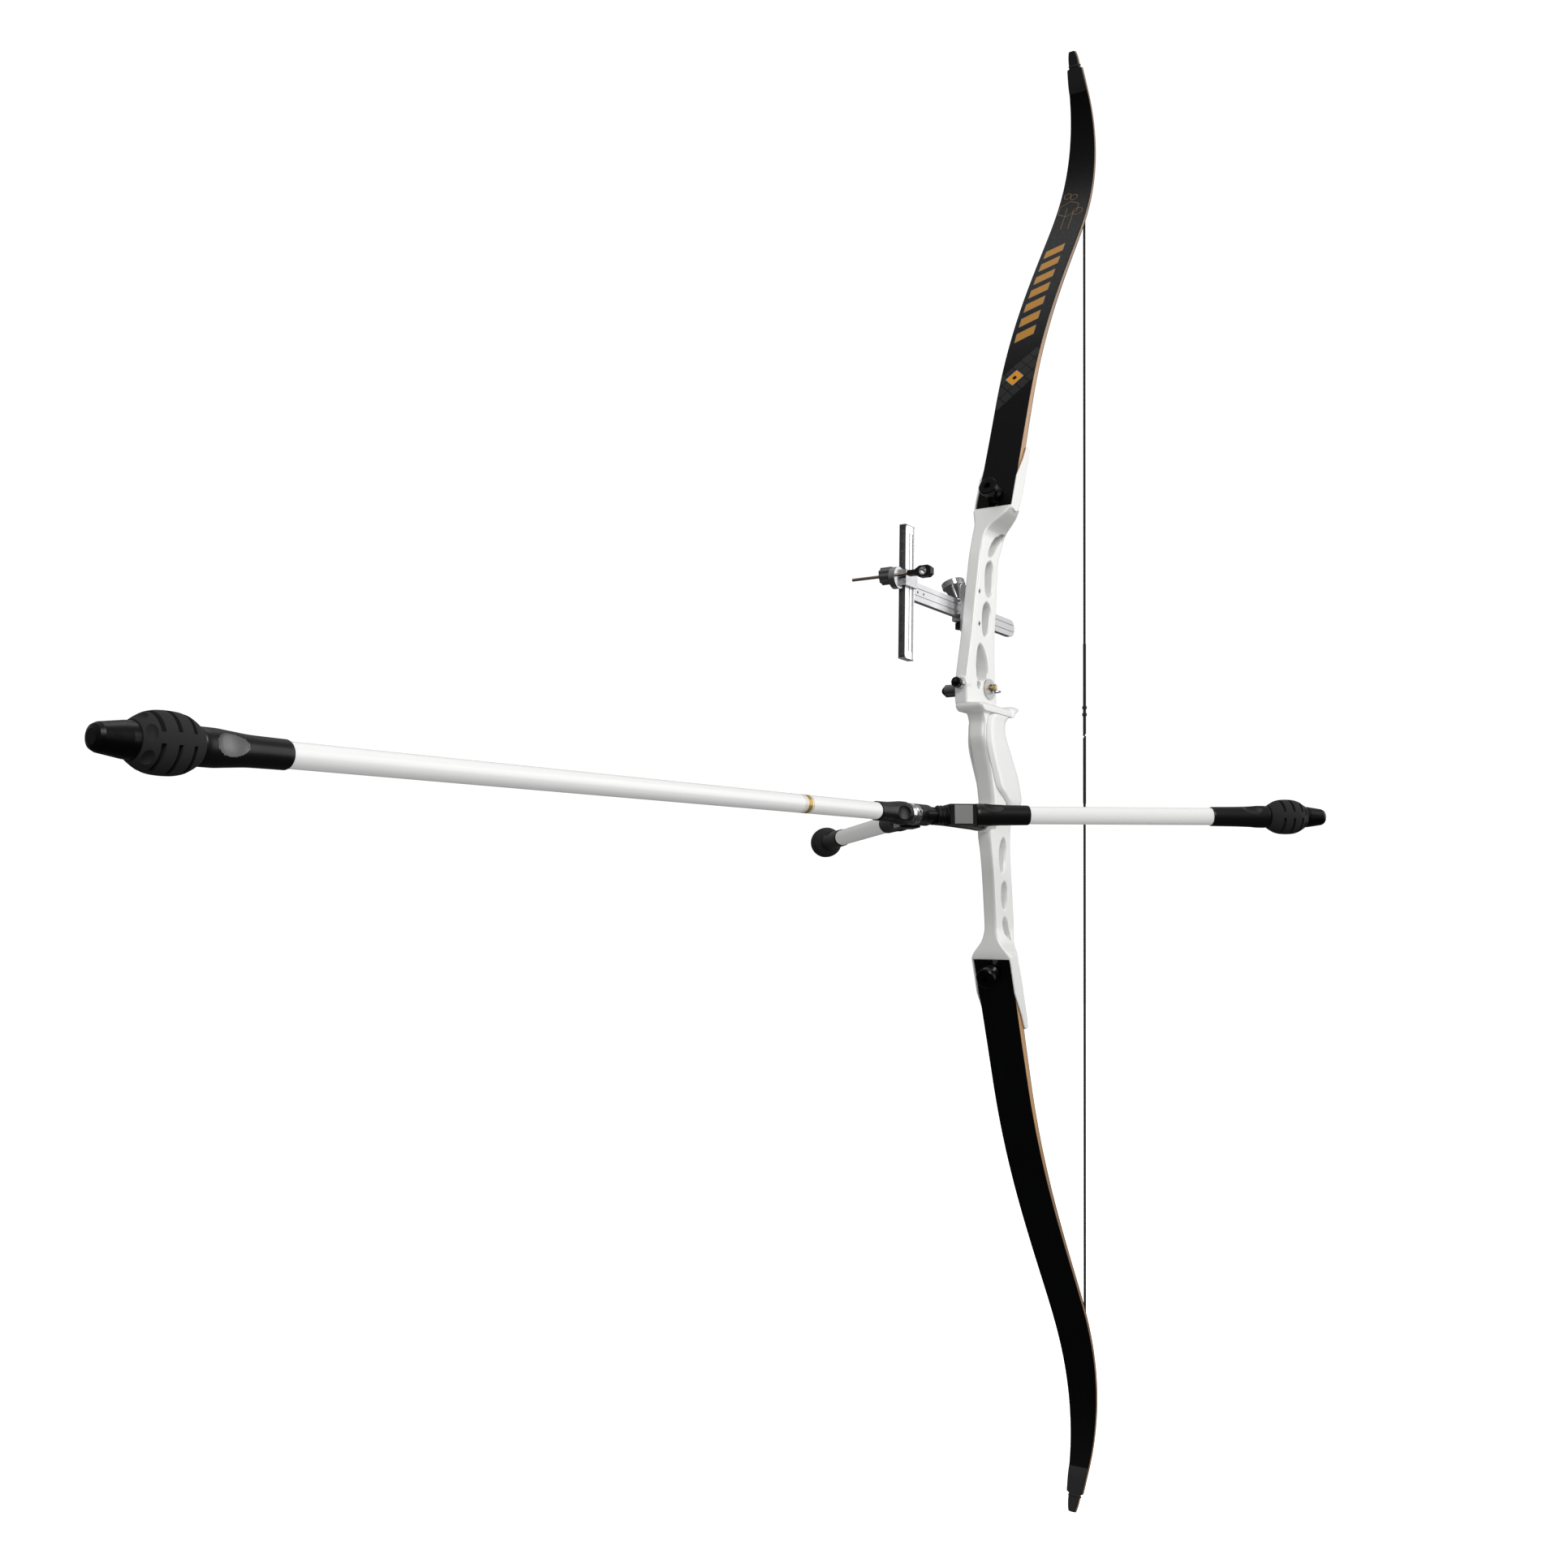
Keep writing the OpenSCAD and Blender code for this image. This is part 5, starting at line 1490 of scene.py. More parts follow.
@dataclass
class Riser:
    """Cast riser: a rounded body with a window, two limb pockets and bevelled cut-outs."""

    limbs: tuple[Limb, Limb]
    window_y: float = 3.5
    plate: float = 14.0
    pocket_w: float = 43.0
    pocket_back: float = 17.5
    front: float = -63.3
    shelf: float = 11.5
    sight_x: float = -35.6
    sight_z: float = 111.8
    sight_pitch: float = 33.3
    plunger: tuple[float, float] = (-12.7, 32.7)
    spare_x: float = -36.3
    bushing: tuple[float, float] = (-38.0, -104.5)
    droop: float = 1.5
    plug_z: float = 31.0
    grain: float = 0.65

    def stations(self) -> list[list[float]]:
        """Rows of height, front, back, near side, far side, front radius and back radius.

        Returns:
            The rows, from the bottom up.
        """
        low = -self.limbs[0].butt_from_middle - self.limbs[0].middle_drop
        high = self.limbs[0].butt_from_middle - self.limbs[0].middle_drop
        far, half, w = self.window_y + self.plate, self.plate / 2, self.pocket_w / 2
        y, f = self.window_y, self.front
        return [
            [low - 1.6, -13.4, 5.6, -w, w, 1.5, 1.5], [low + 3.4, -15, 7, -w + 0.4, w - 0.4, 2, 2.4],
            [low + 7.9, -15.8, 10, -w + 2.4, w - 2.4, 2.6, 3], [low + 12.9, -16, 14.4, -15.2, 15.2, 3, 4],
            [low + 18.4, -16, 19.6, -11.2, 11.2, 3, 4],
            [low + 24.4, -16, 24.5, -half - 1.6, half + 1.6, 2.8, 3.6],
            [low + 33.4, -16.2, 27.2, -half, half, 2.4, 3], [-190, -18.5, 25, -half, half, 2.4, 3],
            [-160, -22.5, 21, -half, half, 2.4, 3], [-136, -27, 18, -half, half, 2.4, 3],
            [-118, -31.5, 16.5, -half - 0.5, half + 0.5, 2.8, 3], [-102, -32, 16, -8.7, 8.7, 4, 3],
            [-90, -28, 15, -9.5, 9.5, 4.6, 3], [-88, -27.5, 4, -9.5, 9.5, 4.6, 2],
            [-74, -30.5, 0, -9.5, 9.5, 4.8, 2], [-56, -36, -4, -9.5, 9.5, 4.8, 2],
            [-38, -43.5, -7, -9.5, 9.5, 4.8, 2], [-20, -50.5, -9, -9.5, 9.5, 4.8, 2],
            [-8, -50, -9, -9.5, 9.5, 4.6, 2], [0, -53, -9, -9.5, 9.5, 4, 2],
            [3.4, -57, -8, -9.5, 10.5, 3.6, 2], [3.9, -59, 5.2, -13, far - 1, 3.4, 1.2],
            [self.shelf - 2.5, f + 0.5, 5.4, -13.2, far, 3.2, 1.2],
            [self.shelf, f + 1, 5.2, -11.6, far, 3.2, 1.2],
            [self.shelf + 0.8, f + 0.5, 5.4, y + 0.2, far, 2, 2.4], [20, f, 5.6, y, far, 2, 3],
            [31, f, 4.6, y, far, 2, 3.2], [48, -60, 1.6, y, far, 2, 3.2], [82, -51.5, 0.8, y, far, 2, 3.2],
            [117, -45, 4.2, y, far, 2, 3.2], [150, -38.2, 6.5, y, far, 2, 3.2],
            [high - 61.4, -36.2, 7.5, y, far, 2, 3.2], [high - 52.4, -34, 10, y, far, 2, 3.2],
            [high - 43.4, -31, 14.5, y, far, 2, 3.4], [high - 34.4, -28, 19, y - 0.2, far, 2, 4],
            [high - 27.4, -25.6, 20.5, y - 2.2, far, 2.4, 5],
            [high - 21.4, -23.6, 18.8, y - 6.6, far, 2.8, 5],
            [high - 15.4, -21.4, 14.8, -10.6, far + 1.2, 3, 5],
            [high - 9.4, -19.4, 9.8, -17.4, w - 1.2, 3, 4],
            [high - 3.4, -17, 5.6, -w, w, 1.5, 1.5],
        ]

    def cutouts(self) -> list[tuple[list[tuple[float, float]], float, float]]:
        """Outlines in X and Z with the two side faces that each one joins.

        Returns:
            An outline, a near face and a far face for each.
        """
        far, half = self.window_y + self.plate, self.plate / 2
        upper = [
            [(19, 204), (8, 198), (-3, 190), (-13, 179), (-18, 169), (-13, 167), (-5, 171), (5, 181),
             (14, 192)],
            [(-20, 162), (-8, 166), (-4, 158), (-4, 139), (-7, 129), (-17, 124), (-24, 129), (-25, 148)],
            [(-20, 122), (-12, 119), (-9, 112), (-10, 101), (-14, 89), (-24, 82), (-30, 88), (-31, 102),
             (-28, 115)],
            [(-34, 77), (-25, 72), (-17, 61), (-14, 48), (-16, 39), (-38, 36), (-43, 43), (-43, 57),
             (-40, 71)],
        ]
        lower = [
            [(-2, -119), (-8, -125), (-11, -136), (-9, -150), (-4, -157), (2, -153), (6, -142), (6, -130),
             (3, -121)],
            [(0, -163), (-5, -170), (-5, -184), (0, -193), (6, -192), (9, -184), (9, -170), (6, -164)],
            [(1, -199), (-2, -206), (1, -215), (8, -223), (14, -225), (15, -217), (11, -206), (6, -200)],
        ]
        return [(o, self.window_y, far) for o in upper] + [(o, -half, half) for o in lower]

    @staticmethod
    def rounded(outline: Sequence[tuple[float, float]], rounds: int = 2) -> list[tuple[float, float]]:
        """Outline with its corners cut again and again until they are round.

        Args:
            outline: closed outline.
            rounds: how often the corners are cut.

        Returns:
            The rounded outline.
        """
        points = list(outline)
        for _ in range(rounds):
            cut = []
            for i, (x, z) in enumerate(points):
                nx, nz = points[(i + 1) % len(points)]
                cut += [(x * a + nx * b, z * a + nz * b) for a, b in ((0.78, 0.22), (0.22, 0.78))]
            points = cut
        return points

    @staticmethod
    def shrunk(outline: Sequence[tuple[float, float]], by: float) -> list[tuple[float, float]]:
        """Outline drawn towards its middle.

        Args:
            outline: closed outline.
            by: how far its points move.

        Returns:
            The new outline.
        """
        cx = (min(p[0] for p in outline) + max(p[0] for p in outline)) / 2
        cz = (min(p[1] for p in outline) + max(p[1] for p in outline)) / 2
        result = []
        for x, z in outline:
            d = math.hypot(x - cx, z - cz)
            result.append((cx + (x - cx) * (1 - by / d), cz + (z - cz) * (1 - by / d)))
        return result

    @staticmethod
    def ring(row: Row) -> list[Point]:
        """Rounded box section at one height.

        Args:
            row: row of the stations.

        Returns:
            Points of the section.
        """
        z, front, back, near, far, rf, rb = row
        corners = [(front + rf, near + rf, rf, 180), (back - rb, near + rb, rb, 270),
                   (back - rb, far - rb, rb, 0), (front + rf, far - rf, rf, 90)]
        return [
            (cx + r * math.cos(math.radians(start + a)), cy + r * math.sin(math.radians(start + a)), z)
            for cx, cy, r, start in corners
            for a in (0, 22.5, 45, 67.5, 90)
        ]

    def body(self) -> Piece:
        """The lofted body."""
        rows = self.stations()
        return loft("riser_casting", [self.ring(row) for row in steady(rows, levels(rows, 1.5))])

    def pocket(self, limb: Limb) -> list[Piece]:
        """Block of one limb pocket with its boss.

        Args:
            limb: limb that it holds.

        Returns:
            The solids to add.
        """
        t = limb.thickness
        b = self.pocket_back
        block = [(0, -4), (-1.5, -2.5), (-1.5, 34), (t(60) - 5, 60), (t(72) - 2.5, 74), (t(74) + 1, 77),
                 (b - 1, 76), (b + 0.2, 68), (b, 24), (b - 1.2, 8), (b - 4.5, -1), (b - 8, -4)]
        boss = [(b - 2, -11), (b - 2, 66), (b + 2, 62), (29, 38), (34, 22), (35, 0), (31, -11)]
        return [
            prism("pocket_block", block, -self.pocket_w / 2, self.pocket_w / 2, limb.from_butt),
            prism("pocket_boss", boss, -5.5, 5.5, limb.from_butt),
            rod("bolt_boss", 8.6, limb.from_butt((b - 4, 0, limb.bolt_u)),
                limb.from_butt((34.5, 0, limb.bolt_u))),
        ]

    def pocket_tools(self, limb: Limb) -> list[Piece]:
        """Tools for the limb's seat, the bolt's thread and the dovetail's bushing.

        Args:
            limb: limb that it holds.

        Returns:
            The tools.
        """
        w = limb.butt_w / 2 + 0.4
        floor_at = limb.butt_t + 0.8
        t = limb.thickness
        seat = [(-20, -1.5), (floor_at, -1.5), (floor_at, 44), (t(46) + 0.25, 46), (t(80) + 0.25, 80),
                (t(80), 90), (-20, 90)]
        tools = [prism("seat_tool", seat, -w, w, limb.from_butt)]
        for u, radius, end in ((limb.bolt_u, 4.8, 50.0), (limb.stud_u, 8.0, floor_at + 6)):
            tools.append(rod("bore_tool", radius, limb.from_butt((0, 0, u)), limb.from_butt((end, 0, u))))
        return tools

    def tools(self) -> list[Piece]:
        """Tools for the cut-outs and the small bores.

        Returns:
            The tools.
        """
        tools = []
        for outline, near, far in self.cutouts():
            rim = self.rounded(outline)
            inner = self.shrunk(rim, 1.5)
            mouth = self.shrunk(rim, -1.2)
            for face, inward in ((near, 1), (far, -1)):
                outer, deep = face - inward * 1.2, face + inward * 1.5
                tools.append(prism("bevel_tool", mouth, outer, deep, shrink=inner))
            tools.append(prism("through_tool", inner, near - 3, far + 3))
        for x, z, radius in ((*self.plunger, 4.0), (self.spare_x, self.plunger[1], 3.95),
                             (self.sight_x, self.sight_z + self.sight_pitch / 2, 2.2),
                             (self.sight_x, self.sight_z - self.sight_pitch / 2, 2.2)):
            tools.append(rod("bore_tool", radius, (x, -10, z), (x, 25, z)))
        tools.append(rod("bore_tool", 4.0, self.from_plug(-5), self.from_plug(16)))
        return tools

    def from_plug(self, x: float) -> Point:
        """Point on the front plug's axis, from the riser's front."""
        return (self.front + x, self.window_y + self.plate / 2, self.plug_z)

    def from_bushing(self, x: float) -> Point:
        """Point on the stabiliser bushing's axis, from its mouth."""
        droop = math.radians(self.droop)
        return (self.bushing[0] + x * math.cos(droop), 0, self.bushing[1] + x * math.sin(droop))

    def build(self) -> None:
        """Casts, machines and paints the riser."""
        casting = self.body()
        mouth_x, mouth_z = self.bushing
        extras = [
            rod("bushing_boss", 11, (mouth_x, 0, mouth_z), self.from_bushing(16)),
            rod("plug_boss", 7.5, self.from_plug(-1.4), self.from_plug(8)),
        ]
        for limb in self.limbs:
            extras += self.pocket(limb)
        machine(casting, extras, Cut.ADD)
        cuts = self.tools()
        for limb in self.limbs:
            cuts += self.pocket_tools(limb)
        cuts.append(rod("bore_tool", 7.05, (mouth_x - 1, 0, mouth_z), self.from_bushing(22)))
        machine(casting, cuts)
        cast(casting, self.grain, 3, 0.4)
        fitted(casting, WHITE_PAINT, "riser", "riser", smooth=60)


@dataclass
class Grip:
    """Moulded grip that wraps the riser's core, with a thumb rest and a rounded foot."""

    half: float = 14.0
    foot: float = -88.0
    cheek: float = 9.9
    grain: float = 0.65

    def stations(self) -> list[list[float]]:
        """Rows of height, front seam, back and half width.

        Returns:
            The rows, from the foot up.
        """
        h = self.half
        return [
            [self.foot, 6, 36, h - 2], [-80, -6, 37.5, h - 0.5], [-70, -22, 33.5, h], [-56, -31, 27, h],
            [-44, -38, 18, h], [-34, -43, 11, h], [-22, -46, 3, h - 0.6], [-11, -46, -1.6, h - 1],
            [-4, -44, -0.6, h - 1], [1, -40, 3.6, h - 0.6], [3.2, -36, 8, h - 0.6], [4.2, 5.8, 14, h - 1],
            [8, 5.8, 20, h - 1.5], [11.5, 6.2, 29, h - 2.2], [14.6, 9.5, 37.4, h - 4.5],
            [16.6, 19, 37.2, h - 7],
        ]

    def ring(self, row: Row) -> list[Point]:
        """Section of the grip: flat cheeks at the front seam and a round back.

        Args:
            row: row of the stations.

        Returns:
            Points of the section.
        """
        z, front, back, half = row
        run = min(9.0, (back - front) / 3)
        cheek = min(self.cheek, half)
        side = [(front, cheek), (front + run * 0.5, half * 0.97), (front + run, half)]
        bow = [(back - run * 1.3 + run * 1.3 * math.sin(a), half * math.cos(a) ** 0.8)
               for a in map(math.radians, (0, 18, 36, 54, 70, 82))]
        far_side = side + bow
        return [(x, y, z) for x, y in far_side] + [(x, -y, z) for x, y in reversed(far_side)]

    def build(self) -> None:
        """Moulds the grip and clears it from the riser's core."""
        rows = self.stations()
        piece = loft("grip_shell", [self.ring(row) for row in steady(rows, levels(rows, 1.2))])
        core = [(-80, -98), (15.2, -98), (15.2, -90), (4.3, -88), (0.3, -74), (-3.7, -56), (-6.7, -38),
                (-8.7, -20), (-8.7, -8), (-8.7, 0), (-7.7, 3.5), (-7.7, 3.7), (-80, 3.7)]
        channel = prism("channel_tool", core, -9.75, 9.75)
        shelf = prism("shelf_tool", [(-80, 3.25), (5.9, 3.25), (5.9, 24), (-80, 24)], -30, 30)
        machine(piece, [channel, shelf])
        cast(piece, self.grain, 3, 0.5)
        fitted(piece, WHITE_GRIP, "riser", "grip", smooth=70)


# ---------------------------------------------------------------- stabilisers


def turn(axis: str, degrees: float) -> Matrix:
    """Rotation about a main axis."""
    return Matrix.Rotation(math.radians(degrees), 4, axis)


def shift(x: float, y: float = 0.0, z: float = 0.0) -> Matrix:
    """Translation in millimetres."""
    return Matrix.Translation((x, y, z))


def swell(x: float, y: float, z: float) -> Matrix:
    """Stretch along the three axes."""
    return Matrix.Diagonal((x, y, z, 1.0))


FLIP = swell(-1.0, 1.0, 1.0)


def ball_tool(name: str, at: Matrix, step: int, sides: int) -> Piece:
    """Ball of radius 1, put and stretched by its place."""
    arc = [(math.sin(a), -math.cos(a)) for a in map(math.radians, range(0, 181, step))]
    return turned(name, arc, at, sides)


@dataclass
class Stabilisers:
    """V-bar with two side rods and a long front rod, each with ferrules, a damper and a weight."""

    root: Matrix = field(
        default_factory=lambda: shift(-38, 0, -104.5) @ turn("Y", -1.5) @ shift(-130) @ turn("X", -1.7))
    long_root: float = 26.25
    side_root: float = 53.55
    root_len: float = 54.0
    rear_len: float = 60.0
    long_tube: float = 655.0
    side_tube: float = 186.0
    long_d: float = 15.5
    side_d: float = 16.8
    ferrule_r: float = 10.75
    damper_r: float = 17.0
    rings: tuple[tuple[float, float], ...] = ((168.0, 0.7), (170.2, 6.4), (178.2, 0.7), (181.0, 0.5))
    ovals: list[Matrix] = field(default_factory=list)

    def on_long(self, x: float) -> Matrix:
        """Place along the long rod, from its root."""
        return self.root @ FLIP @ shift(self.long_root + x)

    def on_side(self, side: int, x: float) -> Matrix:
        """Place along a side rod, from its root: near is -1 and far is 1."""
        return self.root @ turn("Z", side * 45) @ turn("Y", 0.8) @ shift(self.side_root + x)

    def ferrule(self, at: Matrix, length: float, tube_d: float, angle: float) -> Piece:
        """Waisted ferrule with two oval flats for a wrench.

        Args:
            at: place of its thick end.
            length: its length.
            tube_d: diameter of the tube that it joins.
            angle: direction of the flats about the rod.

        Returns:
            The piece.
        """
        r = self.ferrule_r
        neck = tube_d / 2
        rows = [[1.6, r - 0.25], [3.2, r], [10, r], [20, r - 0.7], [36, neck + 1.2],
                [length - 1, neck + 0.95]]
        curve = steady(rows, [1.6 + (length - 2.6) * i / 30 for i in range(31)])
        profile = [(0.0, 0.0), (r - 1.4, 0.0), (r - 0.7, 0.5)] + [(y, x) for x, y in curve]
        profile += [(neck + 0.6, length - 0.2), (neck + 0.1, length), (0.0, length)]
        piece = turned("ferrule", profile, at, 96)
        scoops = []
        for facing in (angle, angle + 180):
            place = at @ turn("X", facing) @ shift(18.5, 0, r + 1.7) @ swell(12.0, 10.5, 5.2)
            self.ovals.append(place.inverted())
            scoops.append(ball_tool("scoop_tool", place, 9, 48))
        machine(piece, scoops)
        return piece

    def paint_oval_highlights(self, piece: Piece) -> None:
        """Paints the faces inside the oval flats of a finished ferrule paler, as a painted reflection of
        the light that the flats catch.

        Args:
            piece: the ferrule.
        """
        piece.data.materials.append(OVAL_PAINTED_HIGHLIGHT.material())
        for face in piece.data.polygons:
            middle = face.center / MM
            if any((oval @ middle).length < 1.02 for oval in self.ovals):
                face.material_index = 1

    def damper(self, at: Matrix) -> Piece:
        """Rubber ball with three bands joined by ribs, and petals towards its weight.

        Args:
            at: place of its inner face.

        Returns:
            The piece.
        """
        rows = [[0.9, 11.7], [4, 13.6], [9, 15.9], [14, 16.8], [19, 17], [24, 16.8], [29, 15.9],
                [34, 13.6], [37.2, 11.6]]
        curve = steady(rows, [0.9 + 36.3 * i / 28 for i in range(29)])
        profile = [(0.0, 0.0), (10.6, 0.0)] + [(y, x) for x, y in curve] + [(10.9, 38.0), (0.0, 38.0)]
        piece = turned("damper", profile, at, 96)
        tools = []
        for x, depth in ((10.6, 3.6), (20.2, 3.0), (29.4, 3.9)):
            for k in range(4):
                tools.append(self.slot(at, x, depth, 90 * k + 8, 90 * k + 76))
        for k in range(6):
            rim = at @ turn("X", 60 * k + 15) @ shift(35.0, 0, 14.0) @ turn("Y", 32)
            tools.append(ball_tool("petal_tool", rim @ swell(3.2, 5.4, 3.0), 15, 24))
        machine(piece, tools)
        return piece

    def slot(self, at: Matrix, x: float, depth: float, start: float, end: float) -> Piece:
        """Tool for one slot round the damper.

        Args:
            at: place of the damper.
            x: its distance along the damper.
            depth: how deep it is cut.
            start: first angle, in degrees.
            end: last angle, in degrees.

        Returns:
            The tool.
        """
        inner, outer = self.damper_r - depth, self.damper_r + 3
        rings = []
        for i in range(13):
            a = math.radians(start + (end - start) * i / 12)
            c, s = math.cos(a), math.sin(a)
            rings.append([at @ Vector((px, r * c, r * s)) for px, r in
                          ((x - 1.25, inner), (x + 1.25, inner), (x + 1.25, outer), (x - 1.25, outer))])
        return loft("slot_tool", rings)

    def band(self, name: str, x: float, width: float) -> Piece:
        """Thin printed ring on the long tube.

        Args:
            name: name of the ring.
            x: its start along the rod.
            width: its width.

        Returns:
            The ring.
        """
        r = self.long_d / 2
        profile = [(r - 0.05, x), (r + 0.05, x), (r + 0.05, x + width), (r - 0.05, x + width)]
        return turned(name, profile, self.on_long(0), 64)

    def build(self) -> None:
        """Makes the ferrules, dampers and rings, and finishes the solids that stay."""
        front = self.ferrule(self.on_long(0), self.root_len, self.long_d, 92)
        stem = turned("stem", [(0, -20), (4.4, -20), (5, -19.4), (5, 0.5), (0, 0.5)], self.on_long(0), 48)
        front = merged("long_front_ferrule_body", [front, stem])
        fitted(front, BLACK_ANODISED, "long_rod", "long_front_ferrule", smooth=35)
        long_end = self.on_long(self.root_len + self.long_tube + self.rear_len)
        rear = self.ferrule(long_end @ FLIP, self.rear_len, self.long_d, 82)
        rear.name = "long_rear_ferrule_body"
        fitted(rear, BLACK_ANODISED, "long_rod", "long_rear_ferrule", smooth=35)
        self.paint_oval_highlights(rear)
        sides, dampers = [], []
        for side in (-1, 1):
            end = self.on_side(side, self.root_len + self.side_tube + self.rear_len)
            sides.append(self.ferrule(self.on_side(side, 0), self.root_len, self.side_d, -38 * side))
            sides.append(self.ferrule(end @ FLIP, self.rear_len, self.side_d, -38 * side))
            dampers.append(self.damper(end))
        fitted(merged("side_ferrule_bodies", sides), BLACK_ANODISED, "v_bar", "side_ferrules", smooth=35)
        fitted(merged("side_damper_bodies", dampers), RUBBER, "v_bar", "side_dampers", smooth=35)
        ball = self.damper(long_end)
        ball.name = "long_damper_body"
        fitted(ball, RUBBER, "long_rod", "long_damper", smooth=35)
        lines = merged("gold_rings", [self.band("ring", x, width) for x, width in self.rings])
        fitted(lines, GOLD_LINE, "long_rod", smooth=32)
        self.finish_solids()

    @staticmethod
    def axis(at: Matrix) -> Point:
        """Direction of a rod from the place of its root."""
        return tuple(at.to_3x3() @ Vector((1, 0, 0)))

    def finish_solids(self) -> None:
        """Finishes of the parts whose solids are already right."""
        dress(BLACK_ANODISED, "extender", "v_bar", "near_lock_ring", "far_lock_ring")
        dress(PLATE_GREY, "arm_plates")
        dress(WHITE_TUBE, "long_tube", "side_tubes")
        dress(STEEL_X, "stabiliser_bushing")
        ahead = self.axis(self.on_long(0))
        dress(Turned("quick_disconnect_steel", "steel", axis=ahead), "quick_disconnect")
        rods = {"long_weight": ahead, "near_side_weight": self.axis(self.on_side(-1, 0)),
                "far_side_weight": self.axis(self.on_side(1, 0))}
        for node, axis in rods.items():
            black = Turned(f"{node}_black", "black_anodised", colour=(0.03, 0.03, 0.031),
                           dark=(0.015, 0.015, 0.015), gloss=(0.26, 0.36), axis=axis, pitch=0.4,
                           depth=0.004)
            dress(black, node)


# ---------------------------------------------------------------- sight and rest


@dataclass
class Sight:
    """Extension sight: base, clamp knob, bar, upright scale bar, carriage and aperture."""

    knob_at: Point = (-20.0, 35.7, 123.4)
    post_x: float = -152.5
    post_y: tuple[float, float] = (25.5, 32.1)
    post_z: tuple[float, float] = (44.0, 175.0)
    aperture: Point = (-160.5, 0.0, 123.7)

    def knob(self) -> None:
        """Turned clamp knob: a polished cone under a rim with three rings."""
        at = Matrix.Translation(self.knob_at) @ turn("X", -18) @ turn("Y", -90)
        profile = [(0, -2.6), (2.5, -2.6), (2.5, 3.45), (5.4, 3.45), (5.9, 4.1), (9.6, 14.8), (10.6, 16.0),
                   (11.5, 16.3), (12, 16.8), (12, 18.0), (11.1, 18.3), (11.1, 18.9), (12, 19.2),
                   (12, 20.2), (11.1, 20.5), (11.1, 21.1), (12, 21.4), (12, 22.2), (11.4, 22.8),
                   (9.4, 22.8), (8.9, 22.4), (0, 22.4)]
        piece = turned("clamp_knob_body", profile, at, 96)
        fitted(piece, CHROME, "clamp_knob", "sight_clamp_knob", smooth=25)

    def scale(self) -> None:
        """Dark scale on the front of the upright bar, with its tick lines."""
        y0, y1 = self.post_y
        z0, z1 = self.post_z
        x = self.post_x
        outline = [(y0 + 0.3, z0 + 0.6), (y1 - 0.3, z0 + 0.6), (y1 - 0.3, z1 - 0.6), (y0 + 0.3, z1 - 0.6)]
        plate = loft("scale_plate", [[(at, y, z) for y, z in outline] for at in (x - 0.05, x + 0.3)])
        fitted(plate, DARK_SCALE, "sight_bar")
        ticks = []
        count = int((z1 - z0 - 8) / 2)
        for i in range(count):
            z = z0 + 4 + 2 * i
            reach = 3.4 if i % 5 == 0 else 1.7
            box = [(y0 + 0.6, z), (y0 + 0.6 + reach, z), (y0 + 0.6 + reach, z + 0.3), (y0 + 0.6, z + 0.3)]
            ticks.append(loft("tick", [[(at, y, q) for y, q in box] for at in (x - 0.08, x)]))
        fitted(merged("scale_ticks", ticks), TICK, "sight_bar")

    def bead(self) -> None:
        """Red bead on its pin in the middle of the aperture."""
        profile = [(0, -1.75), (0.7, -1.55), (1.05, -1.0), (1.1, 0), (1.05, 1.0), (0.7, 1.55), (0, 1.75)]
        ball = turned("bead", profile, shift(*self.aperture), 32)
        fitted(ball, RED, "windage_slide", smooth=60)

    def build(self) -> None:
        """Makes the knob, scale and bead, and finishes the solids that stay."""
        self.knob()
        self.scale()
        self.bead()
        dress(LIGHT_ALLOY, "sight_base", "sight_bar")
        dress(PostFace("post_alloy", "grey_alloy"), "sight_post")
        dress(CARRIAGE_ALLOY, "sight_carriage")
        dress(BLACK_ANODISED, "sight_stop_knob", "aperture_body")
        dress(GREY_ALLOY, "sight_screws", "windage_nut")
        dress(BRONZE, "windage_screw")
        dress(Turned("aperture_chrome", "chrome", colour=(0.75, 0.75, 0.76)), "aperture_ring")


def finish_fittings(limbs: Sequence[Limb]) -> None:
    """Finishes of the riser's small fittings, the bolts and the rest.

    Args:
        limbs: both limbs.
    """
    dress(STEEL_X, "front_sleeve", "pocket_bushings", "limb_dovetails", "plunger_spring")
    dress(PLUG_BLACK, "front_plug")
    for limb in limbs:
        node = f"{limb.name}_bolt"
        along = (limb.from_butt((-1, 0, 0)) - limb.from_butt((0, 0, 0))).normalized()
        black = Turned(f"{node}_black", "black_anodised", colour=(0.025, 0.025, 0.026),
                       dark=(0.012, 0.012, 0.012), gloss=(0.2, 0.32), axis=tuple(along), pitch=0.4,
                       depth=0.004)
        dress(black, node)
    dress(GREY_ALLOY, "bolt_locks")
    dress(NOCK_THREAD, "nocking_point")
    dress(PLATE_GREY, "rest_plate")
    dress(REST_CHROME, "rest_wire")
    dress(BARREL_GREY, "plunger_barrel")
    dress(BRASS, "plunger_tip")
    dress(BLACK_ANODISED, "plunger_cap")


# ---------------------------------------------------------------- studio


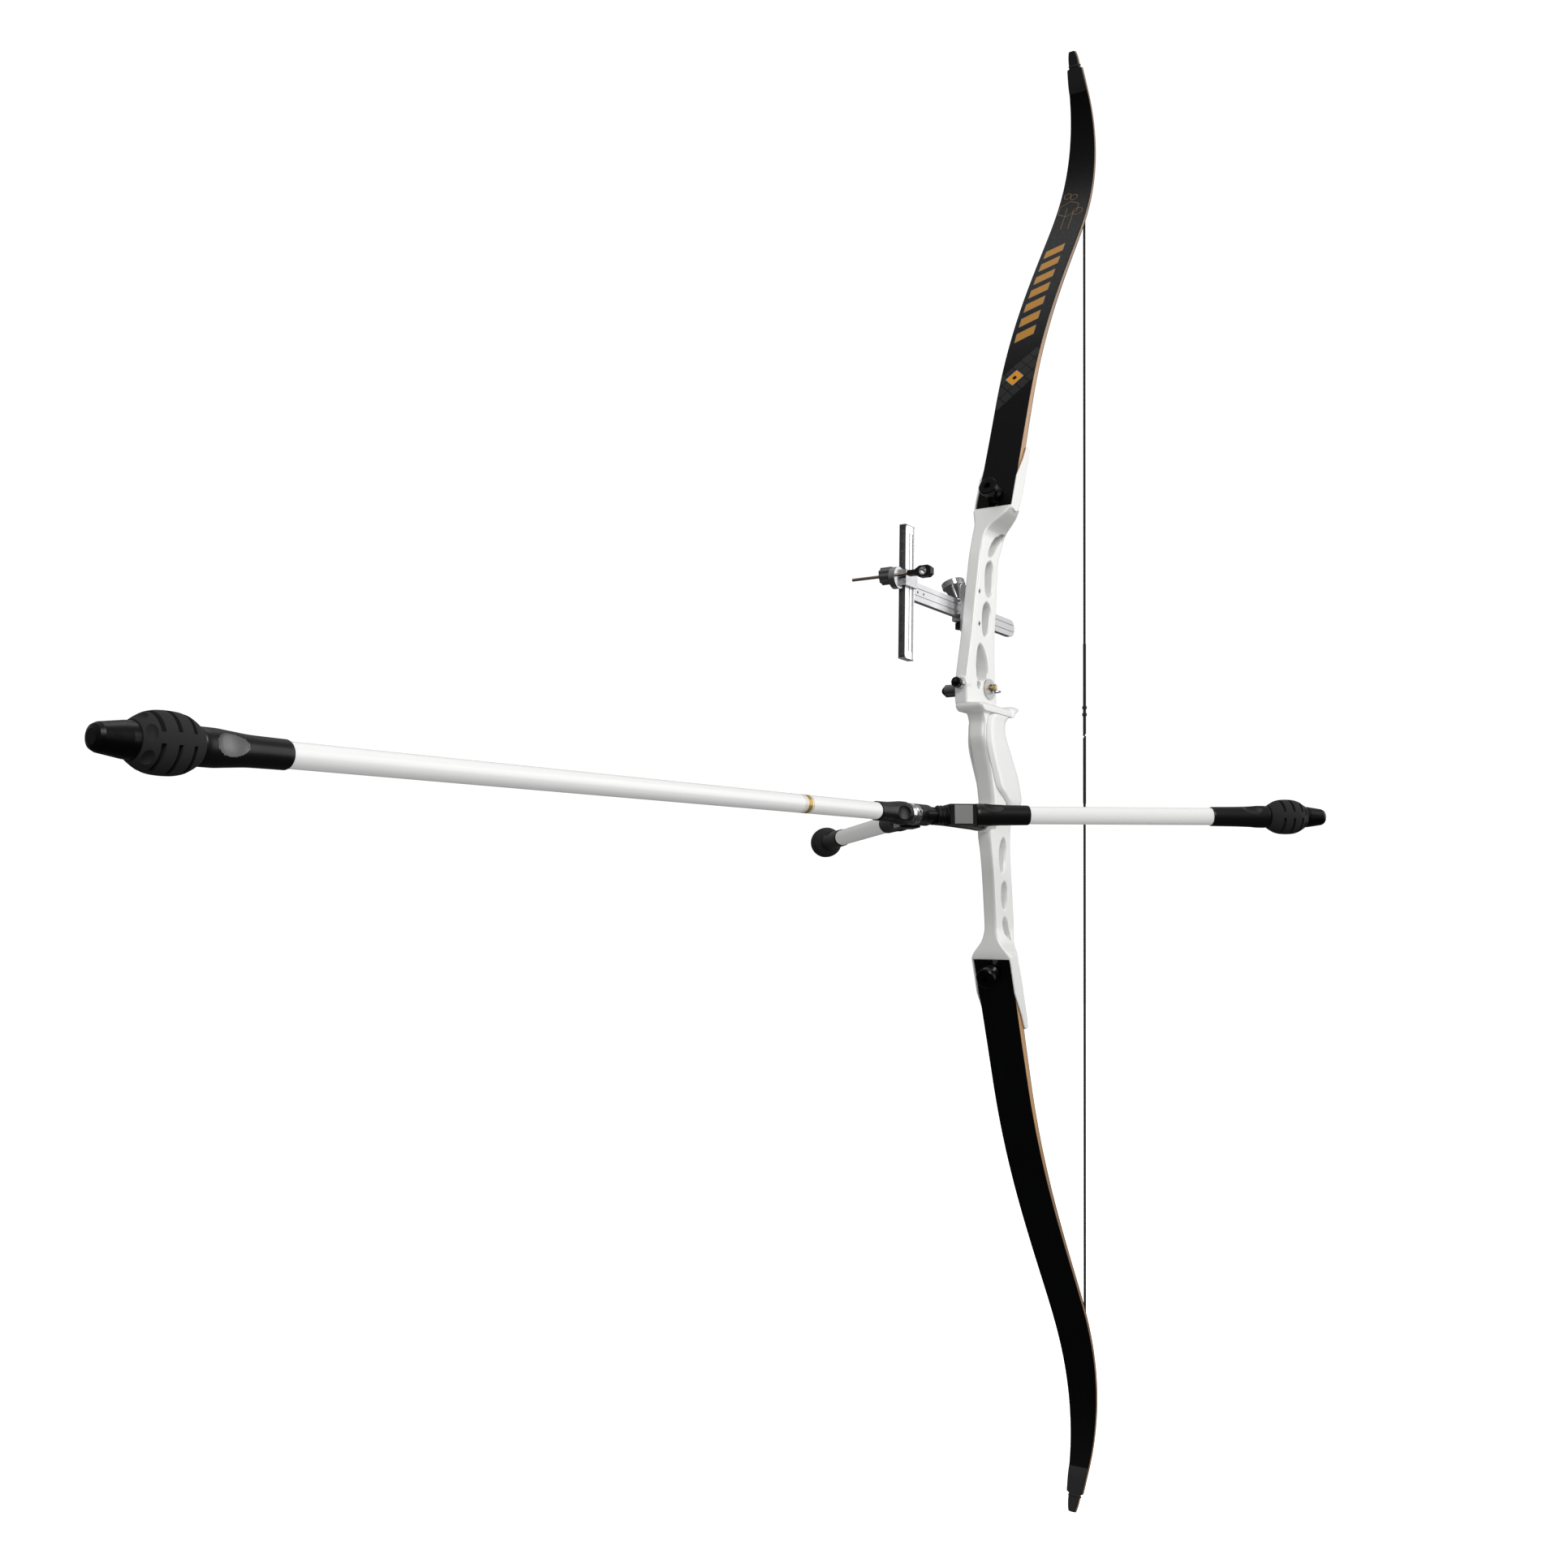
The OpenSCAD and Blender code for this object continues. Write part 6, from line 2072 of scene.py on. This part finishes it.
@dataclass
class Studio:
    """White surroundings, soft lights and the camera at the photograph's view."""

    lens: float = 37.547
    place: Point = (-1.5067, -0.7251, -0.2231)
    yaw: float = 33.175
    pitch: float = 5.339
    roll: float = 0.950
    floor_z: float = -0.84
    floor_half: float = 14.0
    sky_heights: tuple[float, float] = (-0.3, 0.9)
    sky_levels: tuple[float, float] = (0.05, 0.4)
    fill_level: float = 0.5
    seen_level: float = 1.05
    lamps: tuple[tuple[str, Point, float, float], ...] = (
        ("key", (1.9, -2.3, 0.8), 2.6, 39.0),
        ("front", (-2.2, -1.8, 1.6), 1.2, 44.0),
        ("top", (0.2, 0.3, 2.8), 1.6, 10.0),
    )

    def camera(self) -> None:
        """Places the camera."""
        data = bpy.data.cameras.new("photo_camera")
        data.sensor_width = 36
        data.lens = self.lens
        data.clip_end = 60
        yaw, pitch, roll = (math.radians(a) for a in (self.yaw, self.pitch, self.roll))
        ahead = math.cos(pitch)
        forward = Vector((math.cos(yaw) * ahead, math.sin(yaw) * ahead, math.sin(pitch)))
        level = Vector((math.sin(yaw), -math.cos(yaw), 0))
        rise = level.cross(forward)
        right = level * math.cos(roll) + rise * math.sin(roll)
        up = rise * math.cos(roll) - level * math.sin(roll)
        camera = bpy.data.objects.new("photo_camera", data)
        facing = Matrix((right, up, -forward)).transposed().to_4x4()
        camera.matrix_world = Matrix.Translation(self.place) @ facing
        bpy.context.scene.collection.objects.link(camera)
        bpy.context.scene.camera = camera

    def lamp(self, name: str, place: Point, size: float, power: float) -> None:
        """Square soft light that faces the grip.

        Args:
            name: name of the lamp.
            place: its place.
            size: length of its sides.
            power: its power, in watts.
        """
        data = bpy.data.lights.new(name, "AREA")
        data.size = size
        data.energy = power
        lamp = bpy.data.objects.new(name, data)
        lamp.location = place
        lamp.rotation_euler = (-Vector(place)).to_track_quat("-Z", "Y").to_euler()
        bpy.context.scene.collection.objects.link(lamp)

    def surroundings(self) -> None:
        """White world, bright where it is seen and softer where it lights the part."""
        world = bpy.data.worlds.new("studio")
        bpy.context.scene.world = world
        world.use_nodes = True
        nodes, links = world.node_tree.nodes, world.node_tree.links

        def spread(source: Socket, spans: dict[int, object]) -> Socket:
            """Map range node on a source, with its limits by input number.

            Args:
                source: value to map.
                spans: number or socket for each input.

            Returns:
                The mapped value.
            """
            node = nodes.new("ShaderNodeMapRange")
            links.new(source, node.inputs[0])
            for number, value in spans.items():
                if isinstance(value, bpy.types.NodeSocket):
                    links.new(value, node.inputs[number])
                else:
                    node.inputs[number].default_value = value
            return node.outputs[0]

        back = nodes["Background"]
        back.inputs["Color"].default_value = (1.0, 1.0, 1.0, 1.0)
        ray = nodes.new("ShaderNodeLightPath").outputs
        height = nodes.new("ShaderNodeSeparateXYZ")
        links.new(nodes.new("ShaderNodeTexCoord").outputs["Generated"], height.inputs[0])
        low, high = self.sky_heights
        dim, bright = self.sky_levels
        sky = spread(height.outputs["Z"], {1: low, 2: high, 3: dim, 4: bright})
        fill = spread(ray["Is Diffuse Ray"], {3: sky, 4: self.fill_level})
        links.new(spread(ray["Is Camera Ray"], {3: fill, 4: self.seen_level}), back.inputs["Strength"])

    def floor(self) -> None:
        """Wide plain floor just under the lower tip."""
        half, z = self.floor_half / MM, self.floor_z / MM
        corners = [(-half, -half, z), (half, -half, z), (half, half, z), (-half, half, z)]
        piece = solid("floor", corners, [(0, 1, 2, 3)])
        piece.data.materials.append(Stage("floor_white", "stage").material())
        piece.visible_glossy = False
        piece.visible_diffuse = False

    def build(self) -> None:
        """Sets up the camera, lights and floor."""
        bpy.context.scene.view_settings.view_transform = "Standard"
        self.camera()
        self.surroundings()
        for name, place, size, power in self.lamps:
            self.lamp(name, place, size, power)
        self.floor()


def main() -> None:
    """Builds the bow in its studio."""
    Studio().build()
    upper = Limb("upper_limb", 1, "upper_limb", SKIN_UPPER)
    lower = Limb("lower_limb", -1, "lower_limb", SKIN_PLAIN)
    for limb in (upper, lower):
        limb.build()
    for name, limb in (("upper_string", upper), ("lower_string", lower)):
        StringHalf(name, limb).build()
    Riser((upper, lower)).build()
    Grip().build()
    Stabilisers().build()
    Sight().build()
    finish_fittings((upper, lower))


if __name__ == "__main__":
    main()
